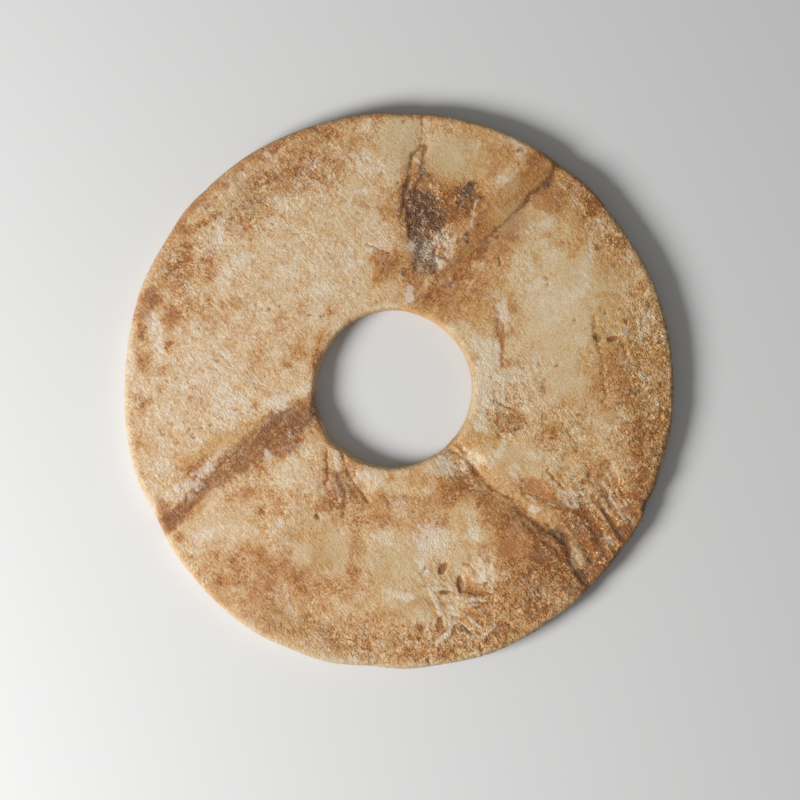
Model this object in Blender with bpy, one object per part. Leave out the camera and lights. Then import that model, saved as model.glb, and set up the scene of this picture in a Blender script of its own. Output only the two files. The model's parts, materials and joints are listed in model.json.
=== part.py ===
"""A jade bi disc: one flat ring of altered jade with a drilled hole, lying on its underside.

Metres, +Z up. Seen from above, +Y is the top of the disc and +X its right side.
The disc stands on z = 0, and the origin is under the middle of its bounding box.
Bearings are degrees, anticlockwise from +X. A reach is the share of the way across the ring,
from 0 at the hole's edge to 1 at the rim.
"""

import math
from collections import namedtuple

import bmesh
import bpy
from mathutils import Vector

# Driving dimensions
DISC_DIAMETER = 0.180
HOLE_DIAMETER = 0.0503
THICKNESS = 0.0072

# The hole was drilled a little off centre, and from both faces, so it is narrowest between them
HOLE_SHIFT_X = -0.0021
HOLE_SHIFT_Y = 0.0003
MOUTH_FLARE = 0.0011
WAIST_SHARE = 0.47

# Worn edges of the rim: how far in from the rim they start, and how far down they run
UPPER_EDGE_RUN = 0.0014
UPPER_EDGE_DROP = 0.0012
LOWER_EDGE_RUN = 0.0009
LOWER_EDGE_DROP = 0.0010
LARGEST_EDGE_SHARE = 0.45

# The slab was sawn by hand: it thins towards one side, and its face is gently wavy
THIN_SIDE_LOSS = 0.0005
THIN_SIDE_BEARING = 325.0
SAW_WAVE_DEPTH = 0.00012
SAW_WAVE_LENGTH = 0.047
SAW_WAVE_BEARING = 68.0

# How deep the fissures and hollows of the face are
VEIN_DEPTH = 0.00030
SEAM_DEPTH = 0.00060
CRACK_DEPTH = 0.00035
HOLLOW_DEPTH = 0.00050

# Fineness of the mesh
SECTORS = 192
FACE_BANDS = 12
MOUTH_BANDS = 3
UPPER_EDGE_BANDS = 3
LOWER_EDGE_BANDS = 2

# Edges that turn by more degrees than this are shaded sharp
SHARP_TURN = 50.0

# A rise (or a dip, below zero) of an outline, spread over so many degrees each way
Swell = namedtuple("Swell", "bearing rise spread")

RIM_SWELLS = [
    Swell(bearing=352, rise=-0.00100, spread=34),
    Swell(bearing=37, rise=-0.00050, spread=8),
    Swell(bearing=48, rise=0.00020, spread=4),
    Swell(bearing=55, rise=-0.00025, spread=3),
    Swell(bearing=68, rise=0.00030, spread=14),
    Swell(bearing=89, rise=-0.00040, spread=3),
    Swell(bearing=97, rise=0.00030, spread=8),
    Swell(bearing=124, rise=0.00065, spread=14),
    Swell(bearing=140, rise=0.00060, spread=5),
    Swell(bearing=157, rise=0.00030, spread=5),
    Swell(bearing=177, rise=-0.00080, spread=13),
    Swell(bearing=207, rise=-0.00090, spread=6),
    Swell(bearing=224, rise=0.00020, spread=6),
    Swell(bearing=239, rise=0.00160, spread=12),
    Swell(bearing=255, rise=0.00100, spread=6),
    Swell(bearing=265, rise=-0.00025, spread=3),
    Swell(bearing=271, rise=0.00050, spread=5),
    Swell(bearing=288, rise=0.00050, spread=6),
    Swell(bearing=304, rise=-0.00035, spread=3),
    Swell(bearing=317, rise=-0.00060, spread=8),
    Swell(bearing=336, rise=-0.00060, spread=3),
    Swell(bearing=343, rise=-0.00060, spread=3),
]

HOLE_SWELLS = [
    Swell(bearing=10, rise=0.00020, spread=25),
    Swell(bearing=88, rise=0.00030, spread=12),
    Swell(bearing=150, rise=-0.00040, spread=22),
    Swell(bearing=219, rise=0.00090, spread=7),
    Swell(bearing=305, rise=-0.00035, spread=22),
]

# A bite out of the rim's upper edge: its half width in degrees, and how much it adds to run and drop
Chip = namedtuple("Chip", "bearing spread run drop")

RIM_CHIPS = [
    Chip(bearing=54, spread=2.5, run=0.0008, drop=0.0008),
    Chip(bearing=89, spread=2.0, run=0.0006, drop=0.0006),
    Chip(bearing=148, spread=3.0, run=0.0005, drop=0.0006),
    Chip(bearing=210, spread=3.0, run=0.0007, drop=0.0007),
    Chip(bearing=263, spread=2.5, run=0.0006, drop=0.0006),
    Chip(bearing=304, spread=3.0, run=0.0009, drop=0.0010),
    Chip(bearing=314, spread=3.5, run=0.0014, drop=0.0015),
    Chip(bearing=323, spread=3.0, run=0.0009, drop=0.0012),
    Chip(bearing=337, spread=3.0, run=0.0012, drop=0.0014),
    Chip(bearing=347, spread=4.0, run=0.0008, drop=0.0011),
]

# A sunken line of the face, along (bearing, reach) points, with its half width at both ends
Fissure = namedtuple("Fissure", "points start_width end_width depth")

FISSURES = {
    "lower left vein": Fissure(
        points=[(196, 0.00), (197, 0.18), (202, 0.31), (205, 0.60), (208, 0.82), (210, 1.00)],
        start_width=0.0052,
        end_width=0.0028,
        depth=VEIN_DEPTH,
    ),
    "upper right vein": Fissure(
        points=[(67, 0.05), (69, 0.15), (64, 0.36), (59, 0.50), (57, 0.64), (55, 0.84), (55, 1.00)],
        start_width=0.0040,
        end_width=0.0026,
        depth=VEIN_DEPTH,
    ),
    "lower right seam": Fissure(
        points=[(314, 0.02), (316, 0.15), (314, 0.33), (317, 0.60), (318, 0.76), (315, 0.88), (314, 1.00)],
        start_width=0.0022,
        end_width=0.0036,
        depth=SEAM_DEPTH,
    ),
    "crack below the hole": Fissure(
        points=[(232, 0.03), (241, 0.07), (249, 0.13), (257, 0.19)],
        start_width=0.0020,
        end_width=0.0014,
        depth=CRACK_DEPTH,
    ),
    "crack from the top": Fissure(
        points=[(85, 1.00), (85, 0.82), (87, 0.57)],
        start_width=0.0014,
        end_width=0.0024,
        depth=CRACK_DEPTH,
    ),
}

# A sunken patch of the face: an oval with half sizes along and across the ring
Hollow = namedtuple("Hollow", "bearing reach along across depth")

HOLLOWS = {
    "dark decayed patch": Hollow(bearing=81, reach=0.43, along=0.0170, across=0.0075, depth=HOLLOW_DEPTH),
    "small dark patch": Hollow(bearing=70, reach=0.66, along=0.0050, across=0.0045, depth=HOLLOW_DEPTH),
    "flaked patch": Hollow(bearing=336, reach=0.86, along=0.0085, across=0.0120, depth=HOLLOW_DEPTH),
    "flake beside the seam": Hollow(bearing=322, reach=0.46, along=0.0100, across=0.0045, depth=CRACK_DEPTH),
    "pitted patch": Hollow(bearing=288, reach=0.62, along=0.0120, across=0.0060, depth=CRACK_DEPTH),
}

# Surface of the stone
STONE_COLOUR = (0.62, 0.45, 0.26, 1.0)
STONE_ROUGHNESS = 0.62
STONE_METALLIC = 0.0


def clear_scene():
    """Start from an empty scene."""
    for item in list(bpy.data.objects):
        bpy.data.objects.remove(item, do_unlink=True)


def direction(bearing):
    """Unit vector in plan along a bearing."""
    angle = math.radians(bearing)
    return Vector((math.cos(angle), math.sin(angle)))


def bell(offset, spread):
    """Smooth bump: 1 at no offset, nearly 0 at twice the spread."""
    return math.exp(-((offset / spread) ** 2))


def bearing_offset(bearing, other):
    """Smallest turn between two bearings, in degrees."""
    return abs((bearing - other + 180.0) % 360.0 - 180.0)


def swelling(bearing, swells):
    """How far all swells together push an outline out at a bearing."""
    return sum(swell.rise * bell(bearing_offset(bearing, swell.bearing), swell.spread) for swell in swells)


def rim_point(bearing):
    """Point of the rim in plan."""
    return direction(bearing) * (DISC_DIAMETER / 2 + swelling(bearing, RIM_SWELLS))


def waist_point(bearing):
    """Point of the hole's wall in plan, where the hole is narrowest."""
    radius = HOLE_DIAMETER / 2 + swelling(bearing, HOLE_SWELLS)
    return Vector((HOLE_SHIFT_X, HOLE_SHIFT_Y)) + direction(bearing) * radius


def ring_point(bearing, reach):
    """Point in plan at a share of the way from the hole's wall to the rim."""
    return waist_point(bearing).lerp(rim_point(bearing), reach)


def across_segment(point, start, end):
    """Distance from a point to a straight segment, and the share of the segment beside the point."""
    run = end - start
    share = max(0.0, min(1.0, (point - start).dot(run) / run.length_squared))
    return (point - start - run * share).length, share


def fissure_cut(point, fissure):
    """How deep one fissure cuts into the face at a point in plan."""
    line = [ring_point(bearing, reach) for bearing, reach in fissure.points]
    deepest = 0.0
    segments = len(line) - 1
    for index in range(segments):
        distance, share = across_segment(point, line[index], line[index + 1])
        along = (index + share) / segments
        width = fissure.start_width + (fissure.end_width - fissure.start_width) * along
        deepest = max(deepest, fissure.depth * bell(distance, width))
    return deepest


def hollow_cut(point, hollow):
    """How deep one hollow cuts into the face at a point in plan."""
    outward = direction(hollow.bearing)
    offset = point - ring_point(hollow.bearing, hollow.reach)
    along = offset.dot(outward) / hollow.along
    across = offset.dot(Vector((-outward.y, outward.x))) / hollow.across
    return hollow.depth * bell(math.hypot(along, across), 1.0)


def sawing_loss(point):
    """How much thinner than its thickest part the sawn slab is at a point in plan."""
    towards_thin_side = point.dot(direction(THIN_SIDE_BEARING)) / (DISC_DIAMETER / 2)
    thinning = THIN_SIDE_LOSS * (0.5 + 0.5 * towards_thin_side)
    phase = 2 * math.pi * point.dot(direction(SAW_WAVE_BEARING)) / SAW_WAVE_LENGTH
    return max(0.0, thinning) + SAW_WAVE_DEPTH * (0.5 - 0.5 * math.cos(phase))


def face_height(point):
    """Height of the upper face at a point in plan."""
    fissures = max(fissure_cut(point, fissure) for fissure in FISSURES.values())
    hollows = max(hollow_cut(point, hollow) for hollow in HOLLOWS.values())
    return THICKNESS - sawing_loss(point) - max(fissures, hollows)


def upper_edge(bearing):
    """Run and drop of the worn, chipped upper edge of the rim at a bearing."""
    wear = [(chip, bell(bearing_offset(bearing, chip.bearing), chip.spread)) for chip in RIM_CHIPS]
    run = UPPER_EDGE_RUN + sum(chip.run * share for chip, share in wear)
    drop = UPPER_EDGE_DROP + sum(chip.drop * share for chip, share in wear)
    return run, min(drop, THICKNESS * LARGEST_EDGE_SHARE)


def lower_edge_drop():
    """Height of the rim's lower edge, kept within its share of the thickness."""
    return min(LOWER_EDGE_DROP, THICKNESS * LARGEST_EDGE_SHARE)


def mouth_arc(bearing, outward, end_height, bands):
    """Hole wall from just past its waist to the mouth, as a quarter of an ellipse."""
    waist_height = THICKNESS * WAIST_SHARE
    points = []
    for step in range(1, bands + 1):
        angle = math.pi / 2 * step / bands
        plan = waist_point(bearing) + outward * MOUTH_FLARE * (1 - math.cos(angle))
        height = waist_height + (end_height - waist_height) * math.sin(angle)
        points.append((plan.x, plan.y, height))
    return points


def section(bearing):
    """Closed section of the ring at a bearing, from the waist of the hole up, out, down and back."""
    waist = waist_point(bearing)
    rim = rim_point(bearing)
    outward = (rim - waist).normalized()

    mouth = waist + outward * MOUTH_FLARE
    points = [(waist.x, waist.y, THICKNESS * WAIST_SHARE)]
    points += mouth_arc(bearing, outward, face_height(mouth), MOUTH_BANDS)

    run, drop = upper_edge(bearing)
    shoulder = rim - outward * run
    for step in range(1, FACE_BANDS + 1):
        plan = mouth.lerp(shoulder, step / FACE_BANDS)
        points.append((plan.x, plan.y, face_height(plan)))

    shoulder_height = face_height(shoulder)
    for step in range(1, UPPER_EDGE_BANDS + 1):
        angle = math.pi / 2 * step / UPPER_EDGE_BANDS
        plan = shoulder + outward * run * math.sin(angle)
        points.append((plan.x, plan.y, shoulder_height - drop * (1 - math.cos(angle))))

    low_drop = lower_edge_drop()
    for step in range(LOWER_EDGE_BANDS + 1):
        angle = math.pi / 2 * step / LOWER_EDGE_BANDS
        plan = rim - outward * LOWER_EDGE_RUN * (1 - math.cos(angle))
        points.append((plan.x, plan.y, low_drop * (1 - math.sin(angle))))

    points += reversed(mouth_arc(bearing, outward, 0.0, MOUTH_BANDS))
    return points


def centre_on_box(sections):
    """Shift all points in plan so that the middle of their bounding box is at the origin."""
    across = [point[0] for points in sections for point in points]
    up = [point[1] for points in sections for point in points]
    middle_x = (min(across) + max(across)) / 2
    middle_y = (min(up) + max(up)) / 2
    return [[(x - middle_x, y - middle_y, z) for x, y, z in points] for points in sections]


def stone_material():
    """Weathered jade: buff, opaque and a little polished."""
    material = bpy.data.materials.new("altered_jade")
    material.use_nodes = True
    shader = material.node_tree.nodes["Principled BSDF"]
    shader.inputs["Base Color"].default_value = STONE_COLOUR
    shader.inputs["Roughness"].default_value = STONE_ROUGHNESS
    shader.inputs["Metallic"].default_value = STONE_METALLIC
    return material


def build_disc():
    """The disc: its section at each bearing, joined all the way round."""
    sections = centre_on_box([section(360.0 * index / SECTORS) for index in range(SECTORS)])
    mesh = bmesh.new()
    rings = [[mesh.verts.new(point) for point in points] for points in sections]
    for index in range(SECTORS):
        here = rings[index]
        following = rings[(index + 1) % SECTORS]
        for low in range(len(here)):
            high = (low + 1) % len(here)
            mesh.faces.new((here[low], here[high], following[high], following[low]))
    bmesh.ops.recalc_face_normals(mesh, faces=mesh.faces)

    data = bpy.data.meshes.new("bi_disc")
    mesh.to_mesh(data)
    mesh.free()
    data.shade_smooth()
    data.set_sharp_from_angle(angle=math.radians(SHARP_TURN))
    data.materials.append(stone_material())
    disc = bpy.data.objects.new("bi_disc", data)
    bpy.context.scene.collection.objects.link(disc)
    return disc


def main():
    clear_scene()
    build_disc()


main()
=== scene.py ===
"""Looks of a jade bi disc: one flat ring of altered jade, lying on its underside.

Metres, +Z up. Seen from above, +Y is the top of the disc and +X its right side.
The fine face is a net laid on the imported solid, from which wear, pits and cracks only take stone away.
Marks on the stone are placed in millimetres, and the net is worked out in millimetres too.
"""

import json
import math
from collections import namedtuple

import bpy
import numpy as np
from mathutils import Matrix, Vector
from mathutils.bvhtree import BVHTree


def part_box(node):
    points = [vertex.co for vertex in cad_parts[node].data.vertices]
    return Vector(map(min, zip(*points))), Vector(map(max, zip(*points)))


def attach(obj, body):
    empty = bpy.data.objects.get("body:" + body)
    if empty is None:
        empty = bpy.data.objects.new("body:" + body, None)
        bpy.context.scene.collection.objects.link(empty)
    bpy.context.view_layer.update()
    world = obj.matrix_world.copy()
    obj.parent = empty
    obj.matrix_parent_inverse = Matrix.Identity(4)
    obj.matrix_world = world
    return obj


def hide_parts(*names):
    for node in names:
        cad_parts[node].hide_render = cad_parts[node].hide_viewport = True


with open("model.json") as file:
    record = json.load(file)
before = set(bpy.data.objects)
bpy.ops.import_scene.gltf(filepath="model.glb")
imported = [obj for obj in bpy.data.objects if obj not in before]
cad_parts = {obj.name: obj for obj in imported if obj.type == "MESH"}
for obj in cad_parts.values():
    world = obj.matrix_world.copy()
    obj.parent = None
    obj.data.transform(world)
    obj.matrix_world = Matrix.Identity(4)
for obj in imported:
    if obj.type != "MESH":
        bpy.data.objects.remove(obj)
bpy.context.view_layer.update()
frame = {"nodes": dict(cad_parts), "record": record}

NODE = "bi_disc"
SLOT = "altered_jade"
MILLIMETRES = 1000.0

# How fine the net is: its sectors at the rim (half as many at the hole) and its rows
RIM_SECTORS = 860
HOLE_SECTORS = RIM_SECTORS // 2
HOLE_WALL_ROWS = 11
INNER_FACE_ROWS = 35
OUTER_FACE_ROWS = 63
RIM_WALL_ROWS = 13
UNDERSIDE_ROWS = 16

# How many of the face's rows the worn rim fades out over
RIM_BAND_ROWS = 5

# Wall rows fan out from a line inside the stone, this far in from the wall
FAN_DEPTH = 2.8

# Where rays start outside the stone, and how far one is moved when it slips between facets
FAR = 200.0
NUDGES = (0.0, 0.004, -0.004, 0.02)

# The way in which the stone's own fibres run, in degrees
GRAIN_TURN = -50.0
CROSS_TURN = 50.0
STRAND_TURN = -60.0
VEIN_TURN = 35.0

# Rounds of smoothing that take the solid's facets out of the face
FACET_SMOOTHING = 14

# A blot on the face: its middle, half length, half width, strength, and the turn of its length in degrees
Spot = namedtuple("Spot", "x y along across share turn", defaults=(0,))

# A long mark: points of (x, y, half width), and its strength
Band = namedtuple("Band", "points share")

# A narrow groove: points, half width, depth, and how dark it is
Groove = namedtuple("Groove", "points width depth tint")

# Points in plan where areas, bands, lines and pits are looked up, and how ragged the lines' widths are
Places = namedtuple("Places", "areas bands lines pits ragged")


def spots(*rows):
    """A table of spots, from rows of their values."""
    return [Spot(*row) for row in rows]


# Broad areas that share one character
GRANULAR = spots(
    (84, 2, 16, 42, 1.0), (66, 58, 24, 7, 0.7, -50), (66, -42, 20, 18, 0.45, -50),
    (45, -66, 26, 13, 0.7, 35), (10, -82, 34, 8, 0.55, 3), (-25, -80, 20, 6, 0.4, -20),
    (-38, 66, 26, 12, 0.5, 35), (-68, 40, 8, 18, 0.4, -25), (9, 56, 9, 15, 1.0, 5),
    (22, 63, 5, 7, 0.9, -30), (35, -5, 8, 14, 0.5), (52, -14, 12, 10, 0.5), (5, 84, 20, 5, 0.2),
    (-38, -14, 9, 6, 0.5, -30),
)

FLAKY = spots(
    (67, -38, 18, 13, 1.0, -55), (58, -50, 12, 8, 0.9, -45), (47, -48, 10, 5, 0.7, -40),
    (20, -24, 10, 7, 0.8, -45), (21, -68, 12, 12, 0.4), (35, -10, 7, 9, 0.5), (74, 18, 9, 9, 0.4),
    (9, 56, 8, 13, 0.6), (-18, -31, 8, 9, 0.5),
)

POLISHED = spots(
    (-0.5, 80, 6, 10, 1.0), (18, 76, 11, 6.5, 1.0, -8), (35.5, 67, 3, 5, 0.8, -35),
    (41, 55, 10, 6, 0.8, 8), (52, 37, 12, 10, 0.85), (51, 21, 12, 13, 0.95), (54, 4, 8, 6, 0.8),
    (39, -22, 9, 8, 0.6, -30), (57, -53.5, 2.2, 5, 0.8, 5), (-34, -26, 5, 5, 0.6),
    (-32, -52.5, 4, 4, 0.75), (-22, -50, 6, 11, 0.6), (-61, -35.5, 3, 3.5, 0.7),
    (-57, -44, 11, 6, 0.6, 10), (-2, -56, 9, 8, 0.5), (20, -53, 3, 2.6, 0.7), (5, -70, 6, 5, 0.4),
    (-35, 60, 5, 4, 0.4), (-16, 55, 9, 6, 0.35), (66, 30, 6, 10, 0.4, -15),
)

# Olive tan, in some of the polished areas and beyond them
OLIVES = spots(
    (-1, 80, 7, 10, 0.9), (18, 75, 12, 8, 0.9, -8), (36, 66, 4, 5, 0.5, -35), (33, 56, 6, 5, 0.5, 30),
    (54, 4, 8, 6, 0.4), (38, -24, 8, 6, 0.5, -30), (-32, -47, 8, 9, 0.8), (-23, -52, 8, 11, 0.8),
    (-2, -56, 11, 10, 0.7), (4, -70, 8, 6, 0.7), (20, -53, 3, 3, 0.8), (57, -53, 3, 5, 0.8),
    (-60, -18, 12, 4, 0.5, 22), (-30, -80, 30, 9, 0.4, -20), (-52, 62, 10, 8, 0.7, 40),
    (66, 32, 8, 12, 0.5, -15),
)

# Whitish, chalky stone, and a pale band beside the hole's right edge that is painted light from the hole's
# lit wall
CHALKY = spots(
    (-58.5, 50, 2.4, 7, 0.6, -18), (-57, 36, 3.5, 4, 0.6), (-50, 43, 3.4, 2.6, 0.65),
    (-37, 60, 3, 2.4, 0.6), (-42, 76, 1.8, 1.4, 0.6), (-28, 73, 2, 2.2, 0.6), (-28, 66, 2, 1.6, 0.6),
    (-12, 65, 3, 1.6, 0.6), (-24, 33, 5, 2.6, 0.75, 15), (-36, 38, 5, 3, 0.5, -20), (-11, 74, 8, 5, 0.55),
    (14, 49, 4, 3.6, 0.75, -25), (8.5, 44, 1.7, 1.6, 0.8), (12.5, 40, 1.8, 1.5, 0.7),
    (16, 43.5, 1.6, 1.5, 0.6), (2.5, 47, 1.4, 1.2, 0.6), (3, 31, 1.4, 3.6, 0.85),
    (-9, 45.6, 2.6, 1.2, 0.7, 20), (43.5, 51.5, 4.4, 3, 0.5), (33, 67, 2, 3, 0.5, -30),
    (39, 77, 2.8, 1, 0.6, 25), (-79, 38, 0.9, 1.2, 0.7), (-78.5, 18, 2.6, 8.5, 0.6),
    (-66, 21, 2.4, 3, 0.45), (-39, -3.5, 4.4, 3, 1.0, 15), (-31, 1.5, 1.6, 3, 0.7),
    (-61, -24.5, 5.5, 1.7, 0.6, 38), (-70, -32, 8, 3.6, 0.5, 28), (-42, -21, 1.6, 1.8, 0.75),
    (-36, -24, 4, 3, 0.5, 30), (-39, -43, 2.2, 2, 0.7), (-60, -45, 7, 4, 0.4, 10),
    (-9.5, -27.5, 5.5, 3, 0.6, -8), (-20.5, -22, 1.2, 3.4, 0.8, 10), (27, -12, 2.4, 2.6, 0.85),
    (14, -23, 2.6, 2, 1.0), (25, -21.5, 4.2, 1.8, 0.65, -45), (33, 26, 2, 4, 0.75, 12),
    (32, 13, 1.4, 3.4, 0.85), (34, 3.5, 5, 3, 0.8), (28, 8, 3, 8, 0.45, -15), (53, 31, 5, 4, 0.55),
    (49, 44, 3, 3, 0.5), (60, 37, 2.4, 6, 0.45, 5), (70, 19, 3.6, 3.4, 0.3), (73, 18.5, 1, 1.2, 0.9),
    (67, -12.5, 1.6, 2, 0.6), (44, -37, 2.4, 1.3, 0.9, -20), (56, -37.5, 1.6, 1, 0.75),
    (50, -31, 3.6, 1.2, 0.6, -25), (69, -35, 1.2, 5.5, 0.6, 22), (11, -48, 5.5, 5, 0.9),
    (7.5, -51, 3, 7.5, 0.6), (24, -46, 3, 3, 0.7), (27, -58, 4, 6, 0.65), (-5.5, -47.5, 3, 2.6, 0.6),
    (0, -37, 5, 3.5, 0.4), (8.2, -57.5, 1.4, 2.8, 0.9, 25), (0, -66, 5.4, 1.3, 1.0, -12),
    (9, -77, 1.6, 1.2, 0.9), (16, -72, 3.4, 6, 0.5), (56.5, -63.5, 1.2, 2, 0.5, 40),
    (67, -48.5, 1, 2.4, 0.6, 40), (75, -42, 1, 3, 0.5, 30), (-85, -2, 2, 12, 0.4), (-64, 5, 12, 10, 0.4),
    # (27.5, 2) is painted light: a pale band beside the hole's right edge, where its wall is lit
    (27.5, 2, 3, 13, 0.9, -6), (46, 31, 6, 10, 0.3), (-52, -5, 9, 4, 0.5, -20), (6, 46, 4, 6, 0.6),
    (-18, -87, 12, 3, 0.4, -8), (-15, 42, 4, 6, 0.5), (-25, 45, 16, 14, 0.3), (44, 4, 6, 8, 0.5),
    (34.5, 24, 1.6, 4, 0.6, 10), (47, 53, 2.4, 2, 0.6), (42, 41, 1.6, 2.4, 0.7), (36, 38, 2, 1.6, 0.5),
    (61.5, 46, 1.2, 5, 0.7, 5), (57, 32, 4, 3, 0.4), (48, 22, 3, 2.4, 0.4), (79, 4, 2.4, 3, 0.6),
    (77, 18, 2, 3, 0.6), (83, -4, 1.6, 3, 0.5), (80, -20, 2, 2.4, 0.4), (73, -8, 2.4, 2, 0.5),
    (3.5, 47.5, 1.6, 3, 0.5, -40), (10, 46.5, 2.6, 1.4, 0.6, -30), (13.5, 41.5, 2.6, 1, 0.8, -30),
    (6.4, 39.5, 0.8, 2, 0.6, 20), (30, -66.5, 1.2, 1, 0.6), (-75, -8, 6, 5, 0.4), (-75, -18, 6, 4, 0.35),
    (-56, -6, 6, 5, 0.35), (-45, 4, 5, 4, 0.35), (16, -26, 3, 2, 0.85), (55, -34, 3, 2, 0.6, -40),
    (33, 5, 5, 9, 0.35), (26, 16, 4, 5, 0.4), (34, -2, 4, 3, 0.4), (33, -20, 3, 2, 0.6, 20),
    (43, -21, 4, 1.6, 0.6, 15), (37, -26, 2.4, 2, 0.5), (30, -24, 2, 3, 0.4, 20), (-46, 26, 6, 5, 0.3),
    (-60, 20, 8, 8, 0.3), (35, 86, 4, 2, 0.4, -25), (-5, 25.5, 4, 2, 0.8), (45, -65, 5, 5, 0.3),
    (55, -35, 4, 3, 0.3), (-35, -15, 3, 3, 0.3), (78, 25, 5, 5, 0.35), (25, 14, 3, 4, 0.4),
    (6, 75, 3, 5, 0.3), (46, 35, 4, 4, 0.3), (35, 85, 5, 2.4, 0.4, -25), (65, 54, 4, 4, 0.4, -30),
    (75, 45, 3, 4, 0.35), (15, 35, 4, 3, 0.3), (55, 25, 5, 5, 0.3), (-75, -26, 5, 4, 0.35),
    (-64, -15, 5, 4, 0.3), (34, -9.5, 2, 1.2, 0.4, 40), (28, -8, 1.6, 1.2, 0.6),
    (29.5, -3, 1.2, 1.8, 0.6),
)
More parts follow.
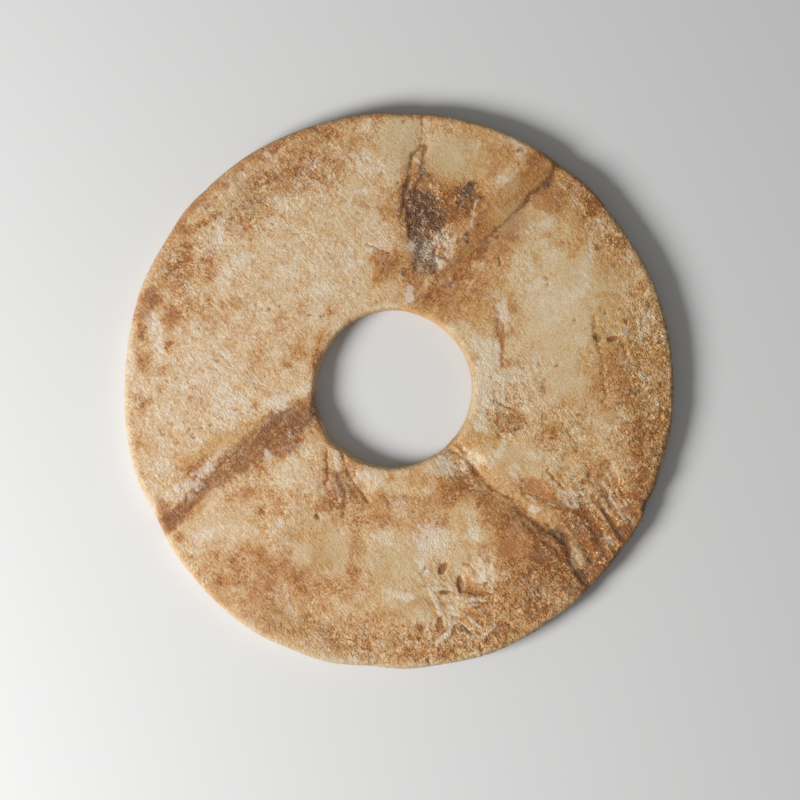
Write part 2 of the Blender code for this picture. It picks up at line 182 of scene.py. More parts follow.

# Brown iron stain, from a faint cast over broad areas to solid blots, and a few blots of painted shade along
# the lower right rim where it turns away from the light
BROWN = spots(
    (58, 64, 12, 6, 0.3, -50), (69, 46, 6, 13, 0.25, 15), (64, -42, 13, 9, 0.45, -50),
    (75, -41, 9, 8, 0.7, -50), (66, -56, 7, 6, 0.7), (-50, -58, 14, 10, 0.42, -20),
    (-60, -63, 12, 6, 0.35, -45), (-36, -66, 9, 8, 0.4), (-25, -55, 6, 9, 0.42),
    (-42, -36, 14, 6, 0.3, -10), (-70, -28, 8, 3.6, 0.15, 30), (-16, -27, 6, 6, 0.6),
    (4, -28, 9, 3.5, 0.25), (17, -19, 4, 3, 0.3, -45), (28, 47, 7, 9, 0.65, -40), (37, 53, 6, 6, 0.55),
    (27, 26, 5, 6, 0.4), (84, -10, 11, 20, 0.3), (70, 9, 5.5, 7.5, 0.3), (66, -1, 5, 8, 0.3, 10),
    (69, -24, 14, 10, 0.2, -30), (78, -12, 4, 8, 0.4), (64, 62, 6.5, 4, 0.6, -52),
    (70, 50, 3.5, 4.5, 0.25, -20), (68.5, 40, 4.5, 8, 0.25, 5), (48, -68, 22, 15, 0.32, 38),
    (36, -52, 4, 4, 0.95), (46, -53, 6.5, 5, 0.95, -35), (40, -60, 7, 6, 0.5), (44, -45, 7, 3, 0.75, -38),
    (10, -82, 36, 6.5, 0.22, 4), (-28, -78, 12, 6, 0.5, -20), (-43, -72, 5, 7, 0.6, 20),
    (-47, -57, 8.5, 7, 0.3, -30), (-37, -52.5, 3, 2, 0.7), (-34, -59, 6, 4, 0.62, -20),
    (-59, -61, 2, 1.6, 0.6), (-72, -46.5, 2.4, 1.8, 0.8, 20), (-76, -38, 2.4, 2.6, 0.6),
    (-14.5, -51, 2.4, 9, 0.72), (-14, -38, 8, 6, 0.45, -20), (-20, -34, 3, 8, 0.5),
    (-25, -38.5, 2, 1.6, 0.85, 20), (-39, -37, 1.6, 1.4, 0.6), (-45, -39, 1.6, 1.4, 0.6),
    (-49.5, -33, 3.2, 2.2, 0.9), (-36, -18.5, 6, 4.6, 0.35, -10), (-46, -24, 3.6, 2.4, 0.8, -10),
    (-8, -35, 9, 3, 0.6, -8), (-4, -42, 14, 3, 0.4), (8, -36, 7, 3, 0.55), (16, -32.5, 4, 5.5, 0.85, -10),
    (26, -33, 7, 6, 0.85, -35), (35, -40, 7, 4, 0.8, -40), (23, -27, 3.6, 2, 0.6, -35),
    (28.5, -50, 3, 2, 0.6), (15, -78, 3, 3, 0.6), (7, -76.5, 1.6, 2.4, 0.8), (8, -68, 6, 2, 0.5),
    (-8, -62, 5, 6, 0.35, 20), (0, -73, 4, 4, 0.35), (-18, -64, 6, 4, 0.5), (-27, -66, 5, 5, 0.5),
    (36, -10.5, 4, 4, 0.4, -10), (44, -31.5, 5.6, 2.6, 0.45, -32), (50, -35.5, 3, 1.6, 0.6, -40),
    (57, -41, 7, 4, 0.5, -45), (66, -52, 4, 3.4, 0.7), (78, -35, 3, 6, 0.75, 30),
    (60, -29, 8, 3, 0.1, -10), (46.5, 2, 1.4, 3, 0.6), (49.5, -13.5, 2, 3.4, 0.5, -20),
    (34, 9.5, 4, 3, 0.2), (32.5, 18, 1.8, 7.5, 0.65, 8), (36, 27, 2.6, 4.4, 0.5, 15),
    (22, 43, 2.6, 3.6, 0.95), (18, 37.5, 3, 2.6, 0.7, 20), (21, 33.5, 10, 6, 0.55, 18),
    (10, 27, 9, 4.4, 0.5, -25), (13, 32, 4, 4, 0.5), (-4.5, 40.5, 5.4, 5.6, 0.8, -15), (3, 37, 4, 5, 0.8),
    (-2, 60, 3.6, 5, 0.45, 20), (8, 70, 7, 5, 0.7), (16, 60, 4, 5, 0.55, -20),
    (22, 61, 5.4, 6.6, 0.6, -30), (8, 58, 9, 12, 0.45), (22, 81.5, 8.5, 3, 0.3, -18),
    (33, 77, 6, 3.4, 0.55, -32), (44.5, 74, 5, 3, 0.85, -40), (31, 70, 2.4, 4, 0.5, -25),
    (50, 61.5, 6, 4.6, 0.8, -40), (59, 52, 4, 6, 0.3, 10), (-24, 83, 5.4, 2.4, 0.7, 14),
    (-20, 74, 2.6, 3.6, 0.65), (-26.5, 76, 4.6, 4.4, 0.5), (-35, 74, 7, 5.4, 0.2, 35),
    (-40, 78.5, 2, 1.6, 0.85, 30), (-35, 78, 1.6, 1.4, 0.6), (-46, 64, 14, 7, 0.42, 45),
    (-30, 68, 7, 4, 0.4), (-54, 55, 2.6, 1.2, 0.6, 60), (-50.5, 53.5, 1.6, 1.4, 0.6),
    (-57, 66.5, 1.3, 1.2, 0.8), (-54, 68, 1.4, 1.2, 0.8), (-61.5, 60.5, 1.2, 1.2, 0.9),
    (-59, 57.5, 1.5, 1.2, 0.85), (-62.6, 54, 2.4, 1.4, 0.7, 40), (-68.5, 52, 4.6, 2, 0.5, 12),
    (-69.5, 45.5, 2, 5.4, 0.6, -10), (-71, 37.5, 4.6, 5, 0.45), (-61.5, 42, 3.4, 4.4, 0.45, -20),
    (-62, 37, 1.6, 2.6, 0.6), (-80, 29.5, 3.4, 3.4, 0.8), (-74, 24, 2.6, 4.6, 0.95, -10),
    (-81.5, 24, 3, 2.6, 0.85), (-83, 18, 1.8, 2.8, 0.95), (-75, 15, 1.6, 1.8, 0.85),
    (-77.5, 6.5, 3.4, 2, 0.6), (-82.6, 9, 1.4, 3.6, 0.7), (-84, -4, 2, 3, 0.62), (-81, -3, 1.3, 1.4, 0.7),
    (-83.5, -17, 2.6, 3.6, 0.25), (-68, 28, 1.8, 1.4, 0.7), (-60, 29, 1.6, 1.2, 0.55),
    (-39.5, 20.5, 3, 3, 0.35), (-33, 12.5, 3.4, 3, 0.55, -20), (-45, 12, 2, 2, 0.55),
    (-36, 7.5, 1.5, 1.3, 0.7), (-47, 4, 2.2, 1.6, 0.35), (-46.5, -5, 1.2, 2.6, 0.75, 25),
    (-27, 10, 1.4, 4, 0.8, -10), (-31, 27, 3, 2, 0.3, 30), (-22.5, 25.5, 3.4, 1.3, 0.7, 35),
    (-62, -3, 3, 2, 0.2, -40), (-58, -8, 3, 2, 0.2, -40), (-83, 26, 4, 6, 0.55),
    (-76, 44, 5, 6, 0.3, -20), (-66, 62, 5, 4, 0.45, 45), (-26.5, -9, 2.6, 9, 0.75, 5),
    # (84, -36), (73, -53) and (80, -22) are painted shade on the lower right rim, which turns away from the
    # light
    (-15, 84, 9, 4, 0.4, 8), (84, -36, 5, 12, 0.8, 25), (73, -53, 8, 5, 0.6, 50), (80, -22, 6, 9, 0.15),
    (43, -42, 9, 4, 0.6, -40), (55, -47, 7, 5, 0.8, -50), (48, -36, 6, 4, 0.2, -30), (26, -66, 7, 6, 0.4),
    (37, -74, 9, 5, 0.35, 30), (-12, -74, 9, 5, 0.4), (-65, -24, 5, 3, 0.7, 30), (14, 56, 5, 7, 0.85),
    (20, 66, 6, 4, 0.35), (45, 66, 4, 5, 0.5, -35), (14, 39, 9, 6, 0.35, 20), (-56, -25, 9, 4, 0.7, 30),
    (-25, -42, 4, 12, 0.4), (34, -45, 6, 5, 0.6, -30), (54, -45, 6, 5, 0.5, -45),
    # (84, -34) is painted shade on the lower right rim
    (66, -48, 9, 7, 0.5, -45), (66, -60, 6, 4, 0.9, 50), (84, -34, 4, 7, 0.8, 20), (38, -32, 5, 5, 0.4),
    (-26.5, 14, 1.8, 5, 0.7, -25), (67, -54, 8, 5, 0.5, 50), (30, 60, 5, 7, 0.4, -40),
    (46, 67, 4, 4, 0.4), (35, -46, 5, 3.5, 0.4, -30), (67, 4, 5, 7, 0.35), (5, 46, 5, 7, 0.5),
    (15, -15, 5, 3, 0.6, -45), (55, -45, 4, 4, 0.4), (11, -44, 5, 3, 0.45), (-47, -28, 5, 3, 0.35, 20),
    (65, -55, 5, 5, 1.0), (35, 57, 5, 4, 0.5, 45), (53, 69, 4, 4, 0.4, -45), (-76, 36, 4, 6, 0.3),
    (-64, 25, 5, 4, 0.3), (18, 27, 8, 4, 0.35), (36, 75, 6, 3, 0.35, -30), (26, 62, 4, 5, 0.35),
    (55, -62, 5, 4, 0.4, -45), (-66, -26, 4, 3, 0.4, 30), (18, 65, 7, 4, 0.25), (38, 55, 6, 5, 0.3, 20),
    (46, 52, 5, 4, 0.15), (16, -85, 6, 3, 0.3), (25, -66, 6, 5, 0.2), (25, -56, 4, 4, 0.2),
    (-62, -42, 9, 4, 0.15, 10), (-24, -24, 4, 5, 0.3), (24, -13, 4, 4, 0.2), (36, -24, 5, 4, 0.2),
    (35, 55, 4, 4, 0.55), (-26, -56, 4, 4, 0.4), (36, -56, 5, 4, 0.3), (54, -45, 4, 3, 0.3, -40),
    (5, -86, 6, 2, 0.35), (44, 68, 4, 4, 0.45), (66, -62, 5, 4, 0.4, 50), (54, -57, 4, 4, 0.5, -45),
    (35, 54, 3, 4, 0.3), (-15, -57, 3, 6, 0.25), (-35, -46, 6, 4, 0.25), (46, -46, 4, 2.4, 0.3, -38),
    # (85, -35) is painted shade on the lower right rim
    (66, -64, 6, 4, 0.4, 50), (15, 46, 5, 4, 0.3), (25, 45, 4, 4, 0.3), (85, -35, 4, 6, 0.5, 20),
    (-66, 22, 6, 6, 0.2), (-65, -3, 4, 4, 0.25), (15, -14, 4, 3, 0.3, -45), (-45, 15, 5, 4, 0.2),
    (-55, 26, 5, 4, 0.2), (-54, -36, 6, 4, 0.2), (46, -35, 4, 3, 0.3, -35), (56, -55, 4, 4, 0.3, -45),
    (25, -74, 6, 4, 0.25), (-15, -24, 4, 3, 0.25), (-45, 76, 4, 3, 0.25, 40), (-14, 76, 4, 4, 0.25),
)

# Orange and yellow ochre
OCHRE = spots(
    (-18, 62, 2.2, 1.4, 0.8, -30), (-7, 64, 2, 2.6, 0.6), (-3, 61, 1.6, 2.4, 0.7),
    (-52, 71, 1.6, 1.2, 0.7), (-67, 58, 1.8, 1.4, 0.6), (-50.5, 63, 1.8, 1.4, 0.6), (-33, 66, 3, 2, 0.4),
    (-30, 51, 3, 2, 0.3), (28, 79, 2, 1.5, 0.9), (26, 70, 2.6, 5, 0.5), (5.8, 76, 1.6, 5.4, 0.8, -10),
    (15, 66.5, 9, 2.4, 0.5), (56.5, 44, 1.6, 1.4, 0.8), (40, 43, 6, 3, 0.4), (-83, 12, 1.8, 1.6, 0.7),
    (-48.5, -33, 2.4, 1.6, 0.6), (-46.5, -42, 2.8, 1.2, 0.8), (-58, -66, 1.8, 1.4, 0.6),
    (-31.5, -47, 1.8, 3.6, 0.7), (-26, -47, 4, 4, 0.7), (-25, -38, 1.4, 1.2, 0.8),
    (27, -16.5, 4.6, 2.2, 0.75, -5), (31.5, -17, 2.2, 2.4, 1.0), (40, -25.5, 1.3, 1.2, 0.9),
    (13.5, -60.5, 1.2, 1.2, 1.0), (-5, -58, 3, 7, 0.4), (5, -69, 3, 2, 0.5), (16, -67, 3.4, 2.6, 0.5),
    (22, -61, 1.6, 3, 0.5), (-60, -19, 4, 2, 0.4, 20), (67, 22, 6, 10, 0.6), (25, 6, 3, 6, 0.4),
    (-25, -56, 5, 6, 0.5), (59, 50, 6, 6, 0.65), (24, 74, 6, 4, 0.5), (-9, 76, 6, 5, 0.35),
    (44, 42, 2.4, 1.6, 0.6), (40, 54, 2.4, 1.6, 0.7), (50, 38.5, 4, 1.6, 0.5), (56, 13, 4, 0.9, 0.5, -8),
    (59.4, 8, 1, 4, 0.7, 10), (46, 14, 3.4, 3, 0.4), (56, 49, 3, 3, 0.5), (24, 84, 8, 3, 0.75, -15),
    (74, 10, 10, 30, 0.35, 8), (38, 8, 8, 14, 0.3), (50, 57, 10, 6, 0.35, 30), (30, 62, 6, 4, 0.5, 45),
    (34, 56, 6, 4, 0.4, 45), (25, 26, 6, 4, 0.5), (34, 76, 6, 3, 0.5, -30), (80, 20, 6, 30, 0.3, 5),
    (86, 0, 5, 14, 0.35), (85, 34, 4, 5, 0.6, 20), (26, 5, 3, 6, 0.4), (45, 4, 4, 6, 0.35),
    (25, 85, 6, 3, 0.4, -15), (-6, 75, 5, 5, 0.4), (-15, 75, 4, 4, 0.45), (66, 54, 4, 5, 0.4, -30),
    (6, 66, 3, 3, 0.4), (36, -24, 3, 1, 0.6, 30), (29, 24, 3, 4, 0.4), (24, 6, 2.4, 5, 0.6),
    (35, 4, 3, 5, 0.4), (75, 14, 4, 5, 0.4),
)

# Reddish brown patches with crisp edges
REDDISH = spots(
    (34.5, -10.5, 4.0, 3.8, 0.7, -10), (43.4, -30.6, 3.8, 2.0, 0.9, -25), (48, -34.2, 3.2, 1.0, 0.8, -40),
    (34, 8.6, 2.6, 1.8, 0.9), (33.2, 17, 0.9, 7.0, 0.8, 4), (36, 21, 0.8, 3.4, 0.6, 10),
    (46.6, 2, 1.0, 2.8, 0.8), (64, 18, 1.4, 1.2, 0.9, -30), (-49.5, -33, 3.0, 1.8, 0.8, 10),
    (35, -51, 3.4, 3.4, 0.7), (-25, -38.4, 1.6, 1.2, 0.9, 20), (32.6, 46.5, 3.0, 3.4, 0.5, -20),
    (47, 61, 5.0, 3.4, 0.7, -35), (47, -8.5, 1.0, 1.8, 0.9), (50.5, -13, 1.4, 1.6, 0.8),
    (69, 8, 3.4, 5.0, 0.6), (73, 1, 2.4, 3.4, 0.6), (-69, 51.5, 3.6, 1.4, 0.3, 12),
    (-73.5, 23, 1.8, 4.0, 0.6, -10),
)

# Deep purple brown, in the veins and beside them
PURPLE = spots(
    (-79, 32.5, 1.8, 3, 0.7), (-25, 83, 3.4, 1.6, 0.5, 14), (8, 52, 6.6, 8, 0.8), (5, 44, 3, 7, 0.85, 10),
    (7, 61, 7, 7, 0.7), (22, 64, 3.6, 5, 0.8, -30), (11, 41.5, 1.6, 3.6, 0.8), (17, 57, 3, 4, 0.6),
    (4.5, 31, 2.4, 4, 0.55), (36.5, -13, 2.6, 1, 0.4, 5), (70.5, -46, 1.9, 2.2, 1.0),
    (46.5, 66, 2.6, 4, 0.6, -30), (22.5, 49, 1.3, 2.2, 0.8), (7, 50, 7, 12, 0.6, 5),
)

PURPLE_BANDS = [
    Band(
        [
            (-26, -5, 5.5), (-31, -8, 6), (-38, -12, 6.2), (-44, -15.5, 5.6), (-50, -20.4, 5.4),
            (-54, -23.8, 4.8), (-58, -27, 3.8), (-62, -30.5, 2.8), (-66, -34, 2.4), (-70, -38.5, 2.8),
            (-74, -42, 3.6), (-78, -44, 4),
        ],
        0.95,
    ),
    Band(
        [
            (52, 75, 1.6), (49, 69.5, 1.6), (46, 65.5, 2), (42, 62.5, 1.3), (38, 58, 0.8), (32, 52, 0.7),
        ],
        0.85,
    ),
    Band(
        [
            (36, -37, 1.6), (42, -42, 2.2), (49, -46.5, 2.6), (54, -50, 1.8), (57, -58, 2),
            (61, -63, 2.4),
        ],
        0.85,
    ),
]

OCHRE_BANDS = [
    Band([(31, 57, 3), (36, 62, 3.6), (41, 66.5, 4), (46, 71, 3.6), (51, 76, 2)], 0.4),
    Band([(13, 35, 1.6), (20, 43, 2), (26, 50, 2.2), (31, 57, 2.6)], 0.4),
    Band(
        [
            (-44, -10, 2), (-50, -13, 2.6), (-55, -15.5, 2.6), (-61, -18, 2.4), (-66, -21, 2),
            (-72, -25, 2),
        ],
        0.75,
    ),
    Band([(-72, -25, 2.2), (-79, -29, 2)], 0.15),
]

BROWN_BANDS = [
    Band([(12, 33, 2.6), (20, 43, 3.2), (26, 50, 3.8), (30, 55, 4)], 0.75),
    Band([(28, 53, 4), (31, 56, 4.4), (37, 62, 5.4), (43, 68, 5.4), (50, 75, 4)], 0.92),
    Band([(8.2, 79, 1.4), (8, 75, 1.6), (7, 70, 1.8), (6, 66, 2)], 0.35),
    Band([(6, 78.5, 1.2), (4.4, 76, 1.4), (3.2, 71, 1.8), (2, 65, 2)], 0.35),
    Band(
        [
            (-34, -14, 4), (-41, -18, 4), (-50, -24, 3), (-56, -29, 2.6), (-63, -35, 2), (-68, -40, 2.4),
        ],
        0.5,
    ),
    Band([(10, 29, 3), (16, 37, 2.6), (22, 45, 2.2)], 0.6),
    Band([(56, 63, 0.6), (60, 54, 0.8), (61.5, 48, 0.8)], 0.3),
    Band([(-14, 62, 0.8), (-10, 58.5, 0.9)], 0.5),
    Band([(-7, 59, 0.8), (-5, 56, 0.8)], 0.5),
    Band([(1.6, 79, 0.8), (1.4, 70, 1.2), (0.6, 60, 1.4)], 0.5),
    # This band darkens a strip along the rim from the top round to the left
    Band(
        [
            (14, 89, 1.6), (-10, 89.6, 1.6), (-30, 84.6, 1.6), (-48, 75.6, 1.6), (-63, 63.8, 1.6),
            (-75, 49.5, 1.6),
        ],
        0.5,
    ),
]

# Nearly black decayed stone, and at (81, -38) a painted shadow on the lower right rim
DARK = spots(
    (7.6, 60, 4.4, 6, 0.75, 5), (5.5, 52, 4, 6, 0.7, 10), (12, 55, 3, 4, 0.5, -20),
    (23, 65, 2.2, 2.6, 0.9, -35), (5, 42, 1.5, 4, 0.55), (11, 42, 1.2, 3.4, 0.55),
    (14.5, 42.5, 1.1, 1.1, 0.9), (1, 38, 1.2, 1.2, 0.6), (19, 49, 1.3, 1.3, 0.6),
    (22.2, 49.8, 1.1, 2.4, 0.55), (7.3, 71, 1.2, 2.4, 0.3), (47, 67, 1.4, 2.6, 0.5, -35),
    (51, -47.5, 4.0, 2.0, 0.65, -38), (58.5, -59.5, 2.6, 2.2, 0.75, -50), (66, -40, 1, 3.6, 0.5, 38),
    (-27.5, -5, 1.6, 3.4, 0.9), (-74.3, -41.2, 0.9, 0.8, 0.9), (-26.5, -41, 0.9, 0.8, 0.8),
    (64, 17, 0.9, 1.6, 0.7, 20), (38.7, 78.3, 1.6, 0.7, 0.4, 25), (65, 46.5, 1.2, 1.3, 0.5),
    # (81, -38) is a painted shadow where the lower right rim turns away from the light
    (81, -38, 2, 5, 0.6, 30), (7, 46, 4.6, 7, 0.3, 10), (9, 39.5, 4, 3.4, 0.25), (2.4, 62, 1.4, 8, 0.6),
    (70, -45.8, 1.5, 1.7, 0.55),
)

# Sunken pits that show one by one: their strength is a depth in millimetres
PITS = spots(
    (14, -57.5, 2.3, 1.3, 0.5, 60), (19.8, -62.7, 3.0, 1.0, 0.55, 95), (25, -65.4, 4.6, 0.9, 0.5, -6),
    (14.8, -65, 2.0, 0.8, 0.5, 8), (28, -62.5, 0.9, 0.8, 0.35), (13, -75.3, 2.8, 1.0, 0.4, 85),
    (22.5, -77.6, 3.4, 0.7, 0.36, -40), (7, -76.5, 0.9, 0.8, 0.28), (8, -58, 1.6, 0.6, 0.35, 55),
    (69, 16.8, 1.9, 0.9, 0.45, 10), (64, 17.2, 1.8, 0.8, 0.4, 105), (66.5, 25, 0.9, 0.7, 0.3),
    (62, -54.8, 1.0, 0.9, 0.6), (-26.5, -41, 0.9, 0.7, 0.35), (-74.3, -41.2, 0.9, 0.8, 0.4),
    (-76, -41, 0.7, 0.6, 0.3), (9.5, 70, 0.7, 0.6, 0.3), (-0.5, 67.5, 0.7, 0.6, 0.3),
    (1.5, 87, 0.7, 0.6, 0.3), (47.5, 36.5, 0.7, 0.6, 0.3), (48, 34.5, 0.6, 0.6, 0.28),
    (57, 23, 0.6, 0.5, 0.26), (51, 8.3, 1.0, 0.5, 0.26, 20), (53, 48, 0.8, 0.6, 0.3),
    (73, -41, 0.7, 0.6, 0.3), (72, -51, 0.7, 0.6, 0.3), (-58.8, 9.8, 0.6, 0.5, 0.26),
    (-64, -12, 0.7, 0.6, 0.28), (-68, -12.5, 0.6, 0.6, 0.26), (-66.5, -15, 0.6, 0.6, 0.26),
    (-61, -11, 0.7, 0.7, 0.28), (-72, -17, 0.6, 0.6, 0.26), (-76, -14, 0.6, 0.6, 0.26),
    (-75, 3, 0.6, 0.6, 0.26), (-72, 4, 0.6, 0.6, 0.26), (-20, -28, 0.8, 1.4, 0.26),
    (-29, -36, 0.7, 0.7, 0.26),
)

# The same pits as stains: their middles are dark
PITS_SHOWN = [pit._replace(share=min(1.0, 1.8 * pit.share)) for pit in PITS]

CRACKS = [
    Groove([(51, 74.5), (49, 69.5), (47, 67), (45, 65.2), (43, 64), (41.5, 61.5)], 0.65, 0.3, 0.9),
    Groove([(41.5, 61.5), (40, 60), (38, 58), (35, 56), (33, 53.5), (31, 51.5)], 0.42, 0.22, 0.85),
    Groove([(31, 51.5), (28, 49.3), (23, 46.5), (18, 41), (13, 36), (10, 31)], 0.45, 0.12, 0.45),
    Groove([(7.3, 89), (7, 81)], 0.45, 0.14, 0.6),
    Groove([(8, 79.5), (8, 76.5), (7.2, 72), (6.5, 68), (5.5, 65)], 1.15, 0.18, 0.85),
    Groove([(7.5, 79.4), (5.8, 78), (4.5, 76.5), (3.5, 73), (3, 70), (3.2, 68)], 1.1, 0.18, 0.85),
    Groove([(3.2, 68), (2, 65), (1.5, 61), (0.7, 57)], 0.65, 0.2, 1.0),
    Groove([(16, -19), (19, -20.5), (22, -22.5), (24.5, -25.5), (28, -30)], 0.45, 0.16, 0.6),
    Groove([(28, -30), (31, -32.5), (34, -34), (37, -35.5), (38, -38), (40, -40)], 0.45, 0.2, 0.75),
    Groove([(40, -40), (43, -42), (46, -44), (49, -46), (51.5, -47.5), (54, -49)], 0.55, 0.28, 0.9),
    Groove(
        [
            (54, -49), (55.5, -50.5), (55, -52.5), (55, -55), (56.5, -57.5), (58, -60), (62, -63.5),
        ],
        0.48, 0.28, 0.9,
    ),
    Groove([(17, -17), (20, -18.5), (22, -21)], 0.5, 0.2, 0.7),
    Groove([(-23.5, -19.5), (-23.3, -22), (-23.2, -24), (-23.6, -27), (-23.8, -30)], 0.65, 0.26, 0.85),
    Groove([(-18.7, -20), (-17.5, -24), (-16, -28), (-13.6, -31.5), (-10, -36)], 0.55, 0.26, 0.85),
    Groove([(-19.2, -29.5), (-17.6, -33), (-18, -37), (-18.5, -40.5)], 0.5, 0.2, 0.7),
    Groove([(-10.4, 47.4), (-7.2, 45.8), (-3, 44.6)], 0.5, 0.26, 0.9),
    Groove([(0, 27), (3, 28)], 0.45, 0.16, 0.5),
    Groove(
        [
            (63, 24), (63, 18), (64.3, 15.5), (65.5, 11), (66, 6), (66, 2), (67, -1), (65.3, -4),
        ],
        0.5, 0.22, 0.6,
    ),
    Groove([(31, -3), (33.5, -4.6), (36, -6)], 0.5, 0.22, 0.9),
    Groove([(39, -7), (39.4, -9), (38.8, -12), (36, -13.6)], 0.45, 0.2, 0.7),
    Groove([(32, -8), (31.4, -11), (33, -13.4)], 0.45, 0.16, 0.6),
    Groove([(46, -6.5), (46.2, -9), (47, -11)], 0.5, 0.22, 0.85),
    Groove([(47, -13), (46.4, -16), (48, -18.6), (51, -19.4)], 0.45, 0.2, 0.65),
    Groove([(40.5, -28.6), (39.4, -30.5), (40, -33), (44, -34.2), (48, -35.6)], 0.45, 0.2, 0.6),
    Groove([(48, -24), (47.6, -26), (49, -27.5), (51, -29.5), (53, -32)], 0.45, 0.2, 0.7),
    Groove([(61.6, -55.8), (60.6, -58.4)], 0.45, 0.3, 0.9),
    Groove([(65, -37), (67, -39.5), (69, -42), (70, -44)], 0.6, 0.2, 0.5),
    Groove([(60, -40), (62, -43), (64, -45.5)], 0.6, 0.2, 0.5),
    Groove([(32.5, 44), (32.5, 41)], 0.45, 0.2, 0.8),
    Groove([(32, 25), (31.4, 20), (33.4, 15), (33, 8)], 0.45, 0.16, 0.55),
    Groove([(45, 12), (45.6, 4), (47, -1)], 0.4, 0.12, 0.4),
    Groove([(59, 10), (58.4, 7.5), (58, 5)], 0.4, 0.1, 0.3),
    Groove([(26, -82), (27, -86)], 0.55, 0.26, 0.8),
    Groove([(9.3, -86), (9.6, -89)], 0.5, 0.24, 0.7),
    Groove([(-11, -76), (-11.8, -79)], 0.45, 0.2, 0.7),
    Groove([(21, -56), (23, -57), (24.4, -58.5)], 0.45, 0.2, 0.6),
    Groove([(29, -54), (29.8, -59), (29.2, -64)], 0.45, 0.2, 0.5),
    Groove([(-40, -20), (-37, -21)], 0.5, 0.2, 0.8),
    Groove([(53, -46), (58, -50), (61, -52)], 0.45, 0.22, 0.5),
    Groove([(42, -44.5), (47, -48.2), (52, -51.4)], 0.4, 0.2, 0.3),
    Groove([(44, -46.6), (49, -50.4)], 0.4, 0.18, 0.25),
    Groove([(70, 25), (75, 21), (78, 15)], 0.5, 0.2, 0.4),
]

# Pale lines: scratches in the polish and thin standing ridges
SCRATCHES = [
    Groove([(-60, 52), (-58.6, 48.5), (-57, 45)], 0.35, 0.08, 0.9),
    Groove([(-46, 40.5), (-42, 41.6), (-37, 42.2)], 0.35, 0.08, 0.8),
    Groove([(-47, 38.6), (-43, 40), (-39, 40.4)], 0.35, 0.08, 0.7),
    Groove([(-15, 73), (-17.5, 68), (-20, 63)], 0.35, 0.08, 0.8),
    Groove([(-22, 60), (-19, 66)], 0.35, 0.08, 0.6),
    Groove([(25, 62), (24, 58), (23.2, 53)], 0.42, 0.1, 1.0),
    Groove([(23, 63.5), (21.5, 62), (20, 60)], 0.4, 0.1, 0.7),
    Groove([(56, 63), (57.5, 60)], 0.4, 0.1, 1.0),
    Groove([(60, 54), (61.5, 48), (62, 42), (63, 38)], 0.4, 0.08, 0.7),
    Groove([(-36, -69), (-34.5, -71), (-33, -73)], 0.42, 0.1, 1.0),
    Groove([(-37, -66), (-30, -72)], 0.35, 0.08, 0.6),
    Groove([(-72, -20), (-74, -25)], 0.35, 0.06, 0.4),
    Groove([(-55, 15), (-50, 10)], 0.35, 0.06, 0.4),
    Groove([(-58, 12), (-53, 6)], 0.35, 0.06, 0.4),
    Groove([(-62, 10), (-56, 3)], 0.35, 0.06, 0.4),
    Groove([(32, -33), (36, -34), (40, -36.5)], 0.4, 0.1, 0.5),
    Groove([(40, -34.4), (45, -34.8), (50, -37.4)], 0.4, 0.1, 0.7),
    Groove([(42, -43.6), (47, -47.2), (53, -51.4)], 0.4, 0.1, 0.4),
]

RIDGES = [
    Groove([(8, -64.4), (12, -64), (16, -64.3)], 0.56, 0.13, 0.9),
    Groove([(10.4, -65.4), (11.6, -68), (13, -72)], 0.95, 0.13, 1.0),
    Groove([(15.6, -62), (17.4, -65)], 0.6, 0.11, 0.8),
    Groove([(21.4, -68), (24, -67.6), (27, -68)], 0.95, 0.13, 0.9),
    Groove([(21, -69.6), (25, -69.4)], 0.48, 0.11, 0.7),
    Groove([(29.4, -56), (29.8, -60), (30.2, -65)], 0.64, 0.13, 1.0),
    Groove([(26.4, -54.6), (27.6, -58), (27.8, -62)], 0.6, 0.11, 0.8),
    Groove([(18, -75), (15.6, -78.4), (12.4, -82)], 1.0, 0.14, 0.9),
    Groove([(20, -75), (22.4, -77.4), (25, -79.4)], 0.56, 0.12, 0.9),
    Groove([(22, -73), (24.8, -75.6), (27, -78.4)], 0.56, 0.12, 0.8),
    Groove([(31, -76), (28.6, -78), (26, -80.4)], 0.56, 0.12, 0.8),
    Groove([(66, -30), (67.5, -33), (69, -36), (72, -40), (74, -43)], 0.72, 0.16, 0.7),
    Groove([(63, -37), (65.5, -40.4), (68, -44)], 0.64, 0.14, 0.6),
    Groove([(62.4, -56), (64, -58.4), (61.6, -60.6)], 0.72, 0.14, 0.3),
    Groove([(66, -46), (68, -49.6)], 0.48, 0.12, 0.8),
    Groove([(45, -46), (52, -51.4), (54, -54)], 0.48, 0.12, 0.3),
    Groove([(8, -54.6), (6.6, -57), (8.8, -59.6)], 0.48, 0.12, 0.8),
    Groove([(16.6, -72), (20, -72.6)], 0.48, 0.11, 0.7),
]

# Where the jumbled ridges and pits stand in sunken ground, with its depth in millimetres
SUNKEN = spots(
    (20, -66, 13, 11, 0.1, -20), (17, -78, 9, 6, 0.16), (66, -38, 9, 8, 0.2, -50),
    (36, -10.5, 3.6, 3.6, 0.14, -10), (44, -31.5, 5, 2.2, 0.14, -32), (8, 57, 6, 9, 0.2),
)

# How strong the relief is, as depths in millimetres
GENTLE_DEPTH = 0.055
FINE_DEPTH = 0.028
GRANULE_DEPTH = 0.240
FLAKE_DEPTH = 0.300
STRAND_DEPTH = 0.560
SCATTERED_PIT_DEPTH = 0.09
WALL_CHIP_DEPTH = 0.22
DECAY_DEPTH = 0.16
UNDERSIDE_WEAR = 0.05

# How much of the upper face's relief the underside has
UNDERSIDE_SHARE = 0.6

# Height of the finest grain, which only the shading shows, in metres
BUMP_DISTANCE = 0.00013

# How far marks sway and shiver from their places, in millimetres, and the bands' share of the sway
SWAY = 3.4
SHIVER = 0.9
BAND_SWAY = 0.3

